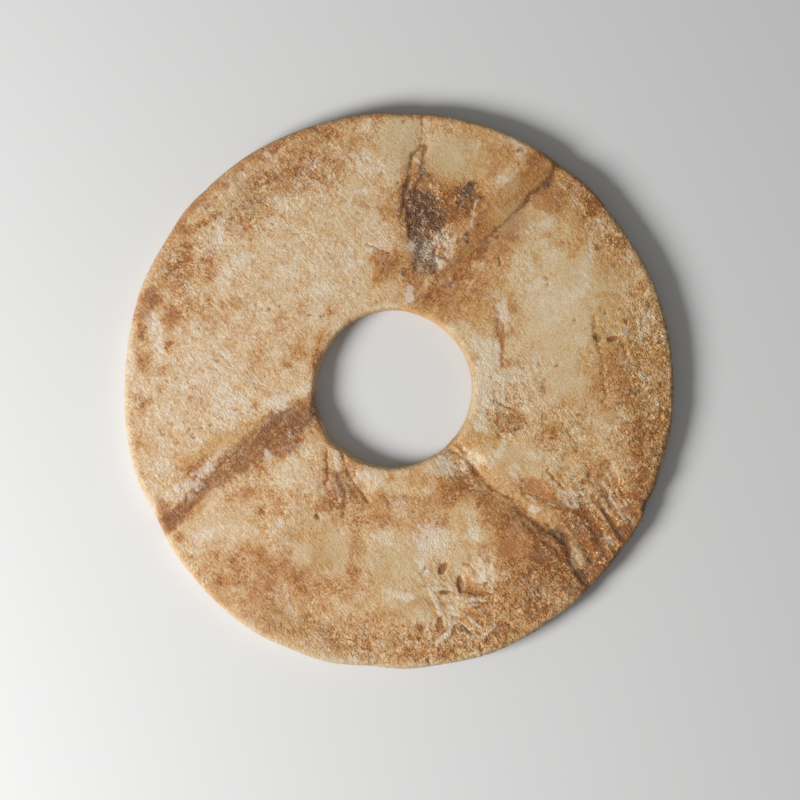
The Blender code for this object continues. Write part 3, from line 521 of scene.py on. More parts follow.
# Steps in the flaky stone, and how deep below its surroundings a point is full of soil
TERRACES = 5.0
SOIL_DEPTH = 0.06

# Scattered pits: how many, their seed, how far from the middle, their least radius and its spread
SCATTERED_PITS = 700
SCATTER_SEED = 41
SCATTER_START = 26.0
SCATTER_END = 90.0
SCATTER_RADIUS = 0.65
SCATTER_SPREAD = 0.6

# Noises of the relief: lumps of a size in millimetres, in layers that get finer and fainter
Lumps = namedtuple("Lumps", "cell octaves seed gain", defaults=(0.5,))
FINER = 0.49
LUMPS = {
    "sway along x": Lumps(9.0, 5, 11, 0.6),
    "sway along y": Lumps(9.0, 5, 21, 0.6),
    "shiver along x": Lumps(3.0, 3, 31, 0.6),
    "shiver along y": Lumps(3.0, 3, 36, 0.6),
    "ragged": Lumps(3.2, 3, 141, 0.6),
    "underside stain": Lumps(24.0, 3, 51),
    "gentle": Lumps(7.0, 3, 61),
    "fine": Lumps(1.7, 2, 71),
    "granules": Lumps(2.8, 3, 81, 0.6),
    "layers": Lumps(4.0, 4, 91, 0.55),
    "strands": Lumps(4.2, 4, 151, 0.55),
    "decay": Lumps(1.5, 2, 101),
    "underside": Lumps(12.0, 3, 111),
    "chips": Lumps(6.0, 3, 121),
    "chip grain": Lumps(1.8, 2, 131),
}

# Noises of the colour, by name: size in millimetres, detail, roughness, shift, stretch, turn and bend
GRAINS = {
    "broad": (18.0, 4.0, 0.6),
    "mottle": (5.5, 6.0, 0.64, 31.0),
    "clouds": (8.0, 6.0, 0.66, 131.0),
    "fleck": (1.6, 5.0, 0.75, 57.0),
    "fine": (0.62, 3.0, 0.7, 67.0),
    "fibre": (0.9, 5.0, 0.7, 77.0, 4.5, GRAIN_TURN, 0.7),
    "crossing": (1.0, 5.0, 0.7, 177.0, 4.5, CROSS_TURN, 0.7),
    "streak": (3.0, 5.0, 0.68, 87.0, 5.0, STRAND_TURN, 0.3),
    "vein": (1.5, 4.0, 0.7, 107.0, 6.0, VEIN_TURN, 0.4),
    "drift": (7.0, 5.0, 0.62, 231.0),
    "pale": (1.6, 5.0, 0.74, 91.0, 1.8, GRAIN_TURN),
    "lumps": (2.5, 4.0, 0.65, 301.0),
    "grain": (0.6, 1.0, 0.5, 13.0),
    "coarse": (1.5, 2.0, 0.6, 23.0),
    "strokes": (0.9, 2.0, 0.5, 77.0, 4.5, GRAIN_TURN, 0.7),
}

# Colours of the stone as linear albedo, each at its level of iron stain, from bare to deeply stained
STAIN_STEPS = [
    (0.00, (0.80, 0.68, 0.50)),
    (0.14, (0.71, 0.555, 0.37)),
    (0.30, (0.63, 0.455, 0.27)),
    (0.44, (0.58, 0.360, 0.180)),
    (0.57, (0.53, 0.282, 0.112)),
    (0.71, (0.45, 0.203, 0.068)),
    (0.85, (0.36, 0.145, 0.042)),
    (1.00, (0.25, 0.088, 0.025)),
]
GROUND_LEVEL = 0.345

PALE_JADE = (0.68, 0.565, 0.385)
STRAW = (0.61, 0.42, 0.20)
OLIVE = (0.50, 0.365, 0.190)
CHALK = (0.69, 0.585, 0.455)
YELLOW_OCHRE = (0.58, 0.355, 0.135)
ORANGE_OCHRE = (0.48, 0.205, 0.055)
RED_BROWN = (0.42, 0.178, 0.062)
PURPLE_BROWN = (0.21, 0.098, 0.052)
NEAR_BLACK = (0.105, 0.053, 0.034)
ASH = (0.52, 0.36, 0.24)
CRACK_BROWN = (0.19, 0.082, 0.030)
DOT_BROWN = (0.33, 0.195, 0.085)
# The rim's walls, cream to tan as the stain goes, both kept dark as painted shade so that the low light on
# the walls doesn't glare
RIM_CREAM_PAINTED_SHADE = (0.42, 0.355, 0.250)
RIM_TAN_PAINTED_SHADE = (0.40, 0.265, 0.145)
# The hole's wall by its side: a light tan as painted light on its shaded left side, a dull cream as painted
# shade on its lit right side, ochre at its top, and how far across the hole they change, in millimetres
BORE_LEFT_PAINTED_LIGHT = (0.72, 0.43, 0.22)
BORE_RIGHT_PAINTED_SHADE = (0.35, 0.265, 0.165)
BORE_OCHRE = (0.43, 0.245, 0.112)
BORE_WIDTH = 44.0
SOIL = (0.27, 0.125, 0.045)
PIT_BROWN = (0.29, 0.122, 0.040)

# The colour drifts from cooler at the left to warmer at the right
COOL_CAST = (0.98, 1.0, 1.05)
WARM_CAST = (1.0, 0.99, 0.92)
CAST_REACH = 80.0

SHEEN_LEVEL = 0.21

# The photograph's view: straight down
CAMERA_X = 0.0002
CAMERA_Y = -0.0030
CAMERA_HEIGHT = 0.9036
LENS = 124.8
SENSOR = 36.0

# Soft studio light, low from the left
KEY_PLACE = (-0.75, -0.33, 0.50)
KEY_SIZE = 0.42
KEY_POWER = 13.4
FILL_LIGHT = 0.24

FLOOR_SIZE = 4.0
FLOOR_COLOUR = (0.66, 0.66, 0.655, 1.0)


def smooth(value, start, end):
    """Ease from 0 at the start to 1 at the end."""
    share = np.clip((value - start) / (end - start), 0.0, 1.0)
    return share * share * (3.0 - 2.0 * share)


def gradient_noise(points, cell, seed):
    """Smooth noise between about -1 and 1, with lumps about one cell across."""
    draw = np.random.default_rng(seed)
    order = draw.permutation(256)
    slopes = draw.normal(size=(256, 3))
    slopes /= np.linalg.norm(slopes, axis=1, keepdims=True)
    scaled = points / cell
    low = np.floor(scaled).astype(int)
    part = scaled - low
    ease = part**3 * (part * (part * 6.0 - 15.0) + 10.0)
    total = np.zeros(len(points))
    for corner in range(8):
        step = np.array([(corner >> axis) & 1 for axis in range(3)])
        cells = (low + step) & 255
        key = order[(order[(order[cells[:, 0]] + cells[:, 1]) & 255] + cells[:, 2]) & 255]
        weight = np.prod(np.where(step == 1, ease, 1.0 - ease), axis=1)
        total += weight * np.einsum("ij,ij->i", slopes[key], part - step)
    return total * 1.6


def fractal(points, name):
    """Layers of ever finer noise, between about -1 and 1, by their name in the table of lumps."""
    lumps = LUMPS[name]
    total = np.zeros(len(points))
    size = 1.0
    whole = 0.0
    for octave in range(lumps.octaves):
        cell = lumps.cell * FINER**octave
        total += size * gradient_noise(points, cell, lumps.seed + octave)
        whole += size
        size *= lumps.gain
    return total / whole


def drawn_out(points, turn, stretch):
    """Points turned and pressed together, so that noise at them runs along the turn, in degrees."""
    angle = math.radians(turn)
    along = (points[:, 0] * math.cos(angle) + points[:, 1] * math.sin(angle)) / stretch
    across = points[:, 1] * math.cos(angle) - points[:, 0] * math.sin(angle)
    return np.stack([along, across, points[:, 2]], axis=1)


def spot_distance(spot, x, y):
    """Distance from a spot's middle, as a share of its half sizes."""
    turn = math.radians(spot.turn)
    across_x = x - spot.x
    across_y = y - spot.y
    along = (across_x * math.cos(turn) + across_y * math.sin(turn)) / spot.along
    across = (across_y * math.cos(turn) - across_x * math.sin(turn)) / spot.across
    return np.hypot(along, across)


def line_distance(points, x, y):
    """Distance from a line of points in plan, and how far along the line it is measured."""
    nearest = np.full(len(x), 1e9)
    place = np.zeros(len(x))
    for index in range(len(points) - 1):
        start_x, start_y = points[index][:2]
        run_x = points[index + 1][0] - start_x
        run_y = points[index + 1][1] - start_y
        share = ((x - start_x) * run_x + (y - start_y) * run_y) / (run_x**2 + run_y**2)
        share = np.clip(share, 0.0, 1.0)
        distance = np.hypot(x - start_x - share * run_x, y - start_y - share * run_y)
        closer = distance < nearest
        nearest = np.where(closer, distance, nearest)
        place = np.where(closer, index + share, place)
    return nearest, place


def spots_field(spots, x, y, core=0.45, edge=1.35):
    """Coverage by soft-edged spots, from 0 to 1."""
    bare = np.ones(len(x))
    for spot in spots:
        bare *= 1.0 - spot.share * (1.0 - smooth(spot_distance(spot, x, y), core, edge))
    return 1.0 - bare


def bands_field(bands, x, y):
    """Coverage by soft-edged bands of changing width, from 0 to 1."""
    bare = np.ones(len(x))
    for band in bands:
        distance, place = line_distance(band.points, x, y)
        widths = [point[2] for point in band.points]
        width = np.interp(place, range(len(widths)), widths)
        bare *= 1.0 - band.share * (1.0 - smooth(distance / width, 0.5, 1.35))
    return 1.0 - bare


def grooves_field(grooves, places, quality):
    """Greatest depth or tint of the grooves at each point, with a soft edge at their ragged width."""
    field = np.zeros(len(places.ragged))
    for groove in grooves:
        distance, _ = line_distance(groove.points, *places.lines)
        profile = 1.0 - smooth(distance / (groove.width * places.ragged), 0.15, 1.6)
        field = np.maximum(field, getattr(groove, quality) * profile)
    return field


def solid_tree():
    """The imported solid, in millimetres, as a tree that rays can hit."""
    mesh = frame["nodes"][NODE].data
    points = [vertex.co * MILLIMETRES for vertex in mesh.vertices]
    faces = [tuple(face.vertices) for face in mesh.polygons]
    return BVHTree.FromPolygons(points, faces)


def hole_middle():
    """Middle of the drilled hole in plan, from the record's opening."""
    low, high = frame["record"]["physics"]["openings"][0]["box_m"]
    return Vector(((low[0] + high[0]) / 2 * MILLIMETRES, (low[1] + high[1]) / 2 * MILLIMETRES, 0.0))


def outward(bearing):
    """Unit vector in plan."""
    return Vector((math.cos(bearing), math.sin(bearing), 0.0))


def hit(tree, origin, way):
    """Where a ray meets the solid, nudged aside if it slips between two facets."""
    for nudge in NUDGES:
        place = tree.ray_cast(origin + Vector((nudge, nudge * 0.7, nudge * 0.5)), way)[0]
        if place is not None:
            return place
    raise ValueError(f"no stone at {tuple(origin)} towards {tuple(way)}")


def outlines(tree, sectors):
    """Points of the hole's wall and of the rim at mid height, for each sector."""
    low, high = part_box(NODE)
    middle = Vector((0.0, 0.0, (low.z + high.z) / 2 * MILLIMETRES))
    hole = hole_middle() + middle
    wall = []
    rim = []
    for index in range(sectors):
        way = outward(2.0 * math.pi * index / sectors)
        wall.append(hit(tree, hole, way))
        rim.append(hit(tree, middle + way * FAR, -way))
    return wall, rim


def face_row(tree, wall, rim, share, upwards):
    """A row of the face at a share of the way across it, with the way in which wear moves it."""
    points = []
    for inner, outer in zip(wall, rim):
        way = (outer - inner).normalized()
        place = (inner + way * FAN_DEPTH).lerp(outer - way * FAN_DEPTH, share)
        points.append(hit(tree, Vector((place.x, place.y, FAR * upwards)), Vector((0, 0, -upwards))))
    return points, [(0.0, 0.0, -upwards)] * len(points)


def fan_row(tree, edge, other, angle):
    """A row of a wall: rays that fan out from inside the stone towards the wall."""
    points = []
    inwards = []
    for here, across in zip(edge, other):
        way = (here - across).normalized()
        origin = here - way * FAN_DEPTH
        ray = way * math.cos(angle) + Vector((0.0, 0.0, math.sin(angle)))
        points.append(hit(tree, origin, ray))
        inwards.append(tuple(-ray))
    return points, inwards


def net_rows():
    """Rows of the net, from the underside through the hole, over the face and round the rim."""
    tree = solid_tree()
    wall, rim = outlines(tree, RIM_SECTORS)
    coarse_wall = wall[::2]
    coarse_rim = rim[::2]
    rows = []
    kinds = []
    for step in range(HOLE_WALL_ROWS):
        angle = math.pi * (step / (HOLE_WALL_ROWS - 1) - 0.5)
        rows.append(fan_row(tree, coarse_wall, coarse_rim, angle))
        kinds.append("wall")
    face_rows = INNER_FACE_ROWS + OUTER_FACE_ROWS
    for step in range(1, face_rows):
        inner = step <= INNER_FACE_ROWS
        sides = (coarse_wall, coarse_rim) if inner else (wall, rim)
        rows.append(face_row(tree, *sides, step / face_rows, 1))
        kinds.append("face")
    for step in range(RIM_WALL_ROWS):
        angle = math.pi * (0.5 - step / (RIM_WALL_ROWS - 1))
        rows.append(fan_row(tree, rim, wall, angle))
        kinds.append("wall")
    for step in range(UNDERSIDE_ROWS, 0, -1):
        rows.append(face_row(tree, coarse_wall, coarse_rim, step / (UNDERSIDE_ROWS + 1), -1))
        kinds.append("underside")
    return rows, kinds


def even_out(rows, kinds):
    """Take the solid's facets out of the face by averaging each height with its neighbours."""
    for sectors in (HOLE_SECTORS, RIM_SECTORS):
        chosen = [i for i, kind in enumerate(kinds) if kind == "face" and len(rows[i][0]) == sectors]
        heights = np.array([[point.z for point in rows[i][0]] for i in chosen])
        for _ in range(FACET_SMOOTHING):
            heights = (np.roll(heights, 1, 1) + 2.0 * heights + np.roll(heights, -1, 1)) / 4.0
            heights[1:-1] = (heights[:-2] + 2.0 * heights[1:-1] + heights[2:]) / 4.0
        for i, values in zip(chosen, heights):
            for point, value in zip(rows[i][0], values):
                point.z = value


def strip(first, second):
    """Faces between two neighbouring rows, also where one has twice the sectors of the other."""
    faces = []
    if len(first) == len(second):
        for index in range(len(first)):
            following = (index + 1) % len(first)
            faces.append((first[index], first[following], second[following], second[index]))
        return faces
    turned = len(first) > len(second)
    fine, coarse = (first, second) if turned else (second, first)
    for index in range(len(coarse)):
        following = (index + 1) % len(coarse)
        start, middle = fine[2 * index], fine[2 * index + 1]
        end = fine[(2 * index + 2) % len(fine)]
        three = [
            (coarse[index], middle, start),
            (coarse[index], coarse[following], middle),
            (coarse[following], end, middle),
        ]
        faces += [face[::-1] for face in three] if turned else three
    return faces


def rim_shares(kinds):
    """How much of the worn, smooth rim each row of the net has."""
    last_face = max(index for index, kind in enumerate(kinds) if kind == "face")
    shares = []
    for index, kind in enumerate(kinds):
        if index > last_face:
            shares.append(1.0 if kind == "wall" else 0.0)
        else:
            shares.append(float(np.clip(1.0 - (last_face - index) / RIM_BAND_ROWS, 0.0, 1.0)))
    return shares


def net():
    """The whole net: points in millimetres, the way wear moves each, its upper and rim shares, and faces."""
    rows, kinds = net_rows()
    even_out(rows, kinds)
    points = np.array([tuple(point) for row in rows for point in row[0]])
    inwards = np.array([way for row in rows for way in row[1]])
    upper = np.concatenate([np.full(len(row[0]), kind != "underside") for row, kind in zip(rows, kinds)])
    rim = np.concatenate([np.full(len(row[0]), share) for row, share in zip(rows, rim_shares(kinds))])
    starts = np.cumsum([0] + [len(row[0]) for row in rows])
    loops = [list(range(starts[i], starts[i + 1])) for i in range(len(rows))]
    faces = []
    for index in range(len(loops)):
        faces += strip(loops[index], loops[(index + 1) % len(loops)])
    return points, inwards, upper.astype(float), rim, faces


def scattered_pits(points, strength):
    """Many small pits spread over the face by chance, deeper where the strength is high."""
    draw = np.random.default_rng(SCATTER_SEED)
    x, y = points[:, 0], points[:, 1]
    order = np.argsort(x)
    sorted_x = x[order]
    depth = np.zeros(len(points))
    for _ in range(SCATTERED_PITS):
        reach = SCATTER_START + (SCATTER_END - SCATTER_START) * math.sqrt(draw.random())
        bearing = 2.0 * math.pi * draw.random()
        middle_x, middle_y = reach * math.cos(bearing), reach * math.sin(bearing)
        radius = SCATTER_RADIUS + SCATTER_SPREAD * draw.random() ** 3
        deep = 0.4 + draw.random()
        first, last = np.searchsorted(sorted_x, (middle_x - 2.0 * radius, middle_x + 2.0 * radius))
        near = order[first:last]
        distance = np.hypot(x[near] - middle_x, y[near] - middle_y) / radius
        depth[near] = np.maximum(depth[near], deep * np.exp(-(distance**2)) * strength[near])
    return depth


def shaken_places(points):
    """Where marks are looked up in plan, shaken by noise so that their outlines come out uneven."""
    plan = points[:, :2].T
    sway = SWAY * np.stack([fractal(points, "sway along x"), fractal(points, "sway along y")])
    shiver = SHIVER * np.stack([fractal(points, "shiver along x"), fractal(points, "shiver along y")])
    ragged = np.clip(1.0 + 1.1 * fractal(points, "ragged"), 0.35, 1.9)
    lines = plan + shiver
    return Places(
        areas=plan + sway,
        bands=lines + BAND_SWAY * sway,
        lines=lines,
        pits=(plan + lines) / 2,
        ragged=ragged,
    )


def stained(spots, bands, places, core=0.45, edge=1.35):
    """Coverage by soft spots and bands together, from 0 to 1."""
    bare = 1.0 - spots_field(spots, *places.areas, core, edge)
    return 1.0 - bare * (1.0 - bands_field(bands, *places.bands))


def stone_fields(points, upper, places):
    """Where each character of the stone shows, from 0 to 1 at each point of the net."""
    fields = {
        "granular": spots_field(GRANULAR, *places.areas),
        "brown": stained(BROWN, BROWN_BANDS, places, core=0.1, edge=1.7),
        "purple": stained(PURPLE, PURPLE_BANDS, places),
    }
    seen_from_above = {
        "flaky": spots_field(FLAKY, *places.areas),
        "polished": spots_field(POLISHED, *places.areas),
        "chalky": spots_field(CHALKY, *places.areas, core=0.2, edge=1.6),
        "olive": spots_field(OLIVES, *places.areas, core=0.3, edge=1.5),
        "ochre": stained(OCHRE, OCHRE_BANDS, places, core=0.2, edge=1.6),
        "reddish": spots_field(REDDISH, *places.lines, core=0.8, edge=1.2),
        "dark": spots_field(DARK, *places.areas),
        "pit": spots_field(PITS_SHOWN, *places.pits, core=0.75, edge=1.35),
        "crack": grooves_field(CRACKS, places, "tint"),
        "scratch": grooves_field(SCRATCHES, places, "tint"),
        "ridge": grooves_field(RIDGES, places, "tint"),
    }
    for name, field in seen_from_above.items():
        fields[name] = upper * field
    fields["scattered"] = scattered_pits(points, (1.0 - 0.8 * fields["polished"]) * (0.4 + 0.6 * upper))
    underside = 0.35 + 0.3 * fractal(points, "underside stain")
    fields["brown"] = np.where(upper > 0.5, fields["brown"], underside)
    fields["purple"] *= 0.3 + 0.7 * upper
    fields["brown"] = np.maximum(fields["brown"], 0.9 * fields["purple"])
    return fields


def flakes(points):
    """Depth of the terraces and strands of flaky stone."""
    steps = TERRACES * fractal(drawn_out(points, GRAIN_TURN, 2.2), "layers")
    terrace = (np.floor(steps) + smooth(steps - np.floor(steps), 0.5, 0.95)) / TERRACES
    strands = fractal(drawn_out(points, STRAND_TURN, 5.0), "strands")
    depth = FLAKE_DEPTH * np.clip(0.5 - terrace, 0.0, 1.2)
    return depth + STRAND_DEPTH * (1.0 - smooth(strands, -0.35, 0.35))


def single_marks(places):
    """Depth of the marks that are placed one by one. At a ridge less stone is taken away."""
    depth = grooves_field(CRACKS, places, "depth") + grooves_field(SCRATCHES, places, "depth")
    depth -= grooves_field(RIDGES, places, "depth")
    for spot in SUNKEN:
        depth += spot.share * (1.0 - smooth(spot_distance(spot, *places.lines), 0.6, 1.25))
    for pit in PITS:
        depth += pit.share * (1.0 - smooth(spot_distance(pit, *places.pits), 0.5, 1.3))
    return depth


def wear(points, upper, fields, places):
    """How deep wear, decay, pits and cracks cut into the stone at each point, in millimetres."""
    rough = 1.0 - 0.75 * fields["polished"] * (1.0 - fields["crack"])
    granules = 1.0 - smooth(np.abs(fractal(points, "granules")), 0.0, 0.42)
    cut = GENTLE_DEPTH * (1.0 + fractal(points, "gentle"))
    cut += FINE_DEPTH * rough * (1.0 + fractal(points, "fine"))
    cut += GRANULE_DEPTH * fields["granular"] * rough * granules
    cut += fields["flaky"] * flakes(points)
    cut += DECAY_DEPTH * fields["dark"] * (1.0 + fractal(points, "decay"))
    cut += SCATTERED_PIT_DEPTH * fields["scattered"]
    cut += upper * single_marks(places)
    underside = UNDERSIDE_SHARE * cut + UNDERSIDE_WEAR * (1.0 + fractal(points, "underside"))
    return np.maximum(np.where(upper > 0.5, cut, underside), 0.0)


def wall_chips(points, inwards):
    """Extra wear of the rim's and hole's walls, where small chips have come away."""
    steep = 1.0 - smooth(np.abs(inwards[:, 2]), 0.75, 0.98)
    chips = smooth(fractal(points, "chips"), 0.10, 0.55)
    return WALL_CHIP_DEPTH * steep * (chips + 0.25 * (1.0 + fractal(points, "chip grain")))


def sheltered(points, faces, cut):
    """How sheltered each point is, from the stone that stands around it: soil gathers there."""
    ends = np.array([(a, b) for face in faces for a, b in zip(face, face[1:] + face[:1])])
    around = cut.copy()
    count = np.bincount(ends[:, 0], minlength=len(cut)) + np.bincount(ends[:, 1], minlength=len(cut))
    for _ in range(3):
        total = np.bincount(ends[:, 0], around[ends[:, 1]], len(cut))
        total += np.bincount(ends[:, 1], around[ends[:, 0]], len(cut))
        around = total / count
    return np.clip((cut - around) / SOIL_DEPTH, 0.0, 1.0)


def stone_piece():
    """The fine stone: the worn net, with the stone's characters kept as attributes of its points."""
    points, inwards, upper, rim, faces = net()
    places = shaken_places(points)
    fields = stone_fields(points, upper, places)
    fields["rim"] = rim
    fields["steep"] = 1.0 - smooth(np.abs(inwards[:, 2]), 0.75, 0.97)
    fields["bore"] = 1.0 - smooth(np.hypot(points[:, 0], points[:, 1]), 40.0, 60.0)
    cut = wear(points, upper, fields, places) + wall_chips(points, inwards)
    fields["soil"] = sheltered(points, faces, cut)
    worn = points + inwards * cut[:, None]

    mesh = bpy.data.meshes.new("bi_disc_stone")
    mesh.from_pydata((worn / MILLIMETRES).tolist(), [], faces)
    mesh.update()
    mesh.shade_smooth()
    for name, values in fields.items():
        attribute = mesh.attributes.new(name, "FLOAT", "POINT")
        attribute.data.foreach_set("value", values.astype(np.float32))
    mesh.materials.append(stone_material())
    piece = bpy.data.objects.new("bi_disc_stone", mesh)
    bpy.context.scene.collection.objects.link(piece)
    return piece


class Nodes:
    """Writes a material's node tree as plain expressions, and keeps values by name."""

    def __init__(self, tree):
        self.tree = tree
        self.kept = {}
        scaled = self.add("ShaderNodeVectorMath", operation="SCALE")
        scaled.inputs["Scale"].default_value = MILLIMETRES
        self.feed(scaled.inputs[0], self.add("ShaderNodeTexCoord").outputs["Object"])
        self.place = scaled.outputs[0]

    def __getitem__(self, name):
        """A value by its name: one kept before, one of the grains, or else a field of the net."""
        if name not in self.kept:
            self.kept[name] = self.noise(*GRAINS[name]) if name in GRAINS else self.field(name)
        return self.kept[name]

    def __setitem__(self, name, value):
        self.kept[name] = value

    def add(self, kind, **settings):
        node = self.tree.nodes.new(kind)
        for name, value in settings.items():
            setattr(node, name, value)
        return node

    def feed(self, socket, value):
        if isinstance(value, bpy.types.NodeSocket):
            self.tree.links.new(value, socket)
        else:
            socket.default_value = value

    def maths(self, operation, first, second=0.0):
        node = self.add("ShaderNodeMath", operation=operation)
        self.feed(node.inputs[0], first)
        self.feed(node.inputs[1], second)
        return node.outputs[0]

    def total(self, first, second):
        return self.maths("ADD", first, second)

    def product(self, first, second):
        return self.maths("MULTIPLY", first, second)

    def greater(self, first, second):
        return self.maths("MAXIMUM", first, second)

    def blend(self, base=0.0, **weights):
        """A base plus values by their names, each with its weight."""
        for name, weight in weights.items():
            base = self.total(base, self.product(self[name], weight))
        return base

    def along(self, axis):
        """Place along an axis of the disc, in millimetres."""
        node = self.add("ShaderNodeSeparateXYZ")
        self.feed(node.inputs[0], self.place)
        return node.outputs[axis]

    def field(self, name):
        return self.add("ShaderNodeAttribute", attribute_name=name).outputs["Fac"]

    def ease(self, value, start, end, low=0.0, high=1.0):
        node = self.add("ShaderNodeMapRange", interpolation_type="SMOOTHSTEP")
        self.feed(node.inputs["Value"], value)
        node.inputs["From Min"].default_value = start
        node.inputs["From Max"].default_value = end
        node.inputs["To Min"].default_value = low
        node.inputs["To Max"].default_value = high
        return node.outputs[0]

    def mix(self, share, base, over):
        node = self.add("ShaderNodeMix", data_type="RGBA")
        self.feed(node.inputs[0], share)
        for socket, colour in ((node.inputs[6], base), (node.inputs[7], over)):
            self.feed(socket, colour if isinstance(colour, bpy.types.NodeSocket) else (*colour, 1.0))
        return node.outputs[2]

    def over(self, colour, tint, share, strength):
        """A colour with a tint laid over it, by a share of some strength."""
        return self.mix(self.product(share, strength), colour, tint)

    def times(self, colour, factor):
        node = self.add("ShaderNodeMix", data_type="RGBA", blend_type="MULTIPLY")
        node.inputs[0].default_value = 1.0
        self.feed(node.inputs[6], colour)
        self.feed(node.inputs[7], factor)
        return node.outputs[2]

    def ramp(self, value, steps):
        node = self.add("ShaderNodeValToRGB")
        self.feed(node.inputs["Fac"], value)
        first, last = node.color_ramp.elements
        first.color = (*steps[0][1], 1.0)
        last.color = (*steps[-1][1], 1.0)
        for level, colour in steps[1:-1]:
            node.color_ramp.elements.new(level).color = (*colour, 1.0)
        return node.outputs["Color"]

    def noise(self, size, detail, roughness, shift=0.0, stretch=1.0, turn=0.0, bend=0.0):
        """Noise about 0, mostly between -0.5 and 0.5, with lumps of a size in millimetres.

        A stretch draws the lumps out along the turn, in degrees, and a bend makes them wind.
        """
        mapping = self.add("ShaderNodeMapping", vector_type="TEXTURE")
        self.feed(mapping.inputs["Vector"], self.place)
        mapping.inputs["Location"].default_value = (shift, shift * 0.7, shift * 1.3)
        mapping.inputs["Rotation"].default_value = (0.0, 0.0, math.radians(turn))
        mapping.inputs["Scale"].default_value = (stretch, 1.0, 1.0)
        node = self.add("ShaderNodeTexNoise")
        self.feed(node.inputs["Vector"], mapping.outputs[0])
        node.inputs["Scale"].default_value = 1.0 / size
        node.inputs["Detail"].default_value = detail
        node.inputs["Roughness"].default_value = roughness
        node.inputs["Distortion"].default_value = bend
        return self.product(self.maths("SUBTRACT", node.outputs[0], 0.5), 2.2)

    def crease(self, size, shift):
        """Branching hollows: 1 in their middles and 0 between them."""
        return self.ease(self.maths("ABSOLUTE", self.noise(size, 3.0, 0.6, shift)), 0.14, 0.0)

    def threads(self, size, shift, turn):
        """Thin lines that run mostly along the turn, 1 on a line and 0 beside it."""
        along = self.noise(size, 2.0, 0.5, shift, 5.0, turn)
        gaps = self.noise(size * 2.0, 2.0, 0.5, shift + 9.0, 2.0, turn)
        line = self.ease(self.maths("ABSOLUTE", along), 0.085, 0.0)
        return self.product(line, self.ease(gaps, -0.05, 0.3))

    def specks(self, size):
        """Distance to the nearest of many scattered points, as a share of their spacing."""
        node = self.add("ShaderNodeTexVoronoi")
        self.feed(node.inputs["Vector"], self.place)
        node.inputs["Scale"].default_value = 1.0 / size
        return node.outputs["Distance"]


def coverage(nodes, field, breakup, soft, strength=1.0):
    """A field turned into patches with broken edges: their share of the area follows the field."""
    broken = nodes.total(field, nodes.product(breakup, strength))
    return nodes.ease(broken, 0.5 - soft, 0.5 + soft)


def stain_level(nodes):
    """How deeply iron has stained the stone, from its broad areas down to single specks."""
    nodes["lower_left"] = nodes.ease(nodes.total(nodes.along(0), nodes.along(1)), 50.0, -50.0, 0.12, 0.44)
    crossing = nodes.product(nodes["crossing"], nodes.maths("SUBTRACT", 0.46, nodes["lower_left"]))
    nodes["fibres"] = nodes.total(nodes.product(nodes["fibre"], nodes["lower_left"]), crossing)
    nodes["streaks"] = nodes.product(nodes["streak"], nodes["flaky"])
    nodes["veins"] = nodes.product(nodes["vein"], nodes["purple"])

    liveliness = nodes.ease(nodes.blend(clouds=-1.0, fleck=0.4), -0.4, 0.4, 0.3, 1.4)
    speckle = nodes.product(nodes.blend(fleck=0.28, fine=0.44, height=-0.16, soil=0.14), liveliness)
    coarser = nodes.blend(0.64, lower_left=1.2, brown=0.75, flaky=0.6, granular=0.5)
    uneven = nodes.blend(nodes.product(speckle, coarser), broad=0.14, mottle=0.44, fibres=1.0)
    uneven = nodes.blend(uneven, streaks=1.0, creases=0.10, veins=0.7)
    spread = nodes.blend(0.80, brown=0.35, granular=0.5, polished=-0.45, flaky=0.25)
    return nodes.blend(nodes.product(uneven, spread), brown=0.58, rim=0.02)


def ground_colour(nodes):
    """The stone between its marks: cream to brown, with polished, chalky, straw and olive parts."""
    colour = nodes.ramp(nodes.total(stain_level(nodes), GROUND_LEVEL), STAIN_STEPS)
    colour = nodes.over(colour, PALE_JADE, nodes["polished"], 0.30)
    bare = nodes.ease(nodes["brown"], 0.2, 0.9, 1.0, 0.35)
    colour = nodes.over(colour, CHALK, nodes.ease(nodes["drift"], 0.0, 0.42, 0.0, 0.34), bare)
    colour = nodes.over(colour, STRAW, nodes.ease(nodes["drift"], -0.02, -0.42, 0.0, 0.55), bare)
    olive = coverage(nodes, nodes["olive"], nodes.blend(clouds=0.6, fleck=0.3), soft=0.45)
    return nodes.over(colour, OLIVE, olive, 0.5)


def stained_colour(nodes, colour):
    """Ochre, reddish and purple brown stains."""
    broken = nodes.blend(mottle=0.75, fleck=0.75, fine=0.35)
    ochre = nodes.mix(nodes.ease(nodes["fleck"], -0.3, 0.4), YELLOW_OCHRE, ORANGE_OCHRE)
    colour = nodes.over(colour, ochre, coverage(nodes, nodes["ochre"], broken, 0.35, strength=0.9), 0.75)
    reddish = coverage(nodes, nodes["reddish"], broken, soft=0.3, strength=0.8)
    reddish = nodes.product(reddish, nodes.ease(nodes["reddish"], 0.04, 0.3))
    colour = nodes.over(colour, RED_BROWN, reddish, 0.72)
    tinge = coverage(nodes, nodes["purple"], broken, soft=0.3)
    return nodes.over(colour, PURPLE_BROWN, tinge, 0.34)


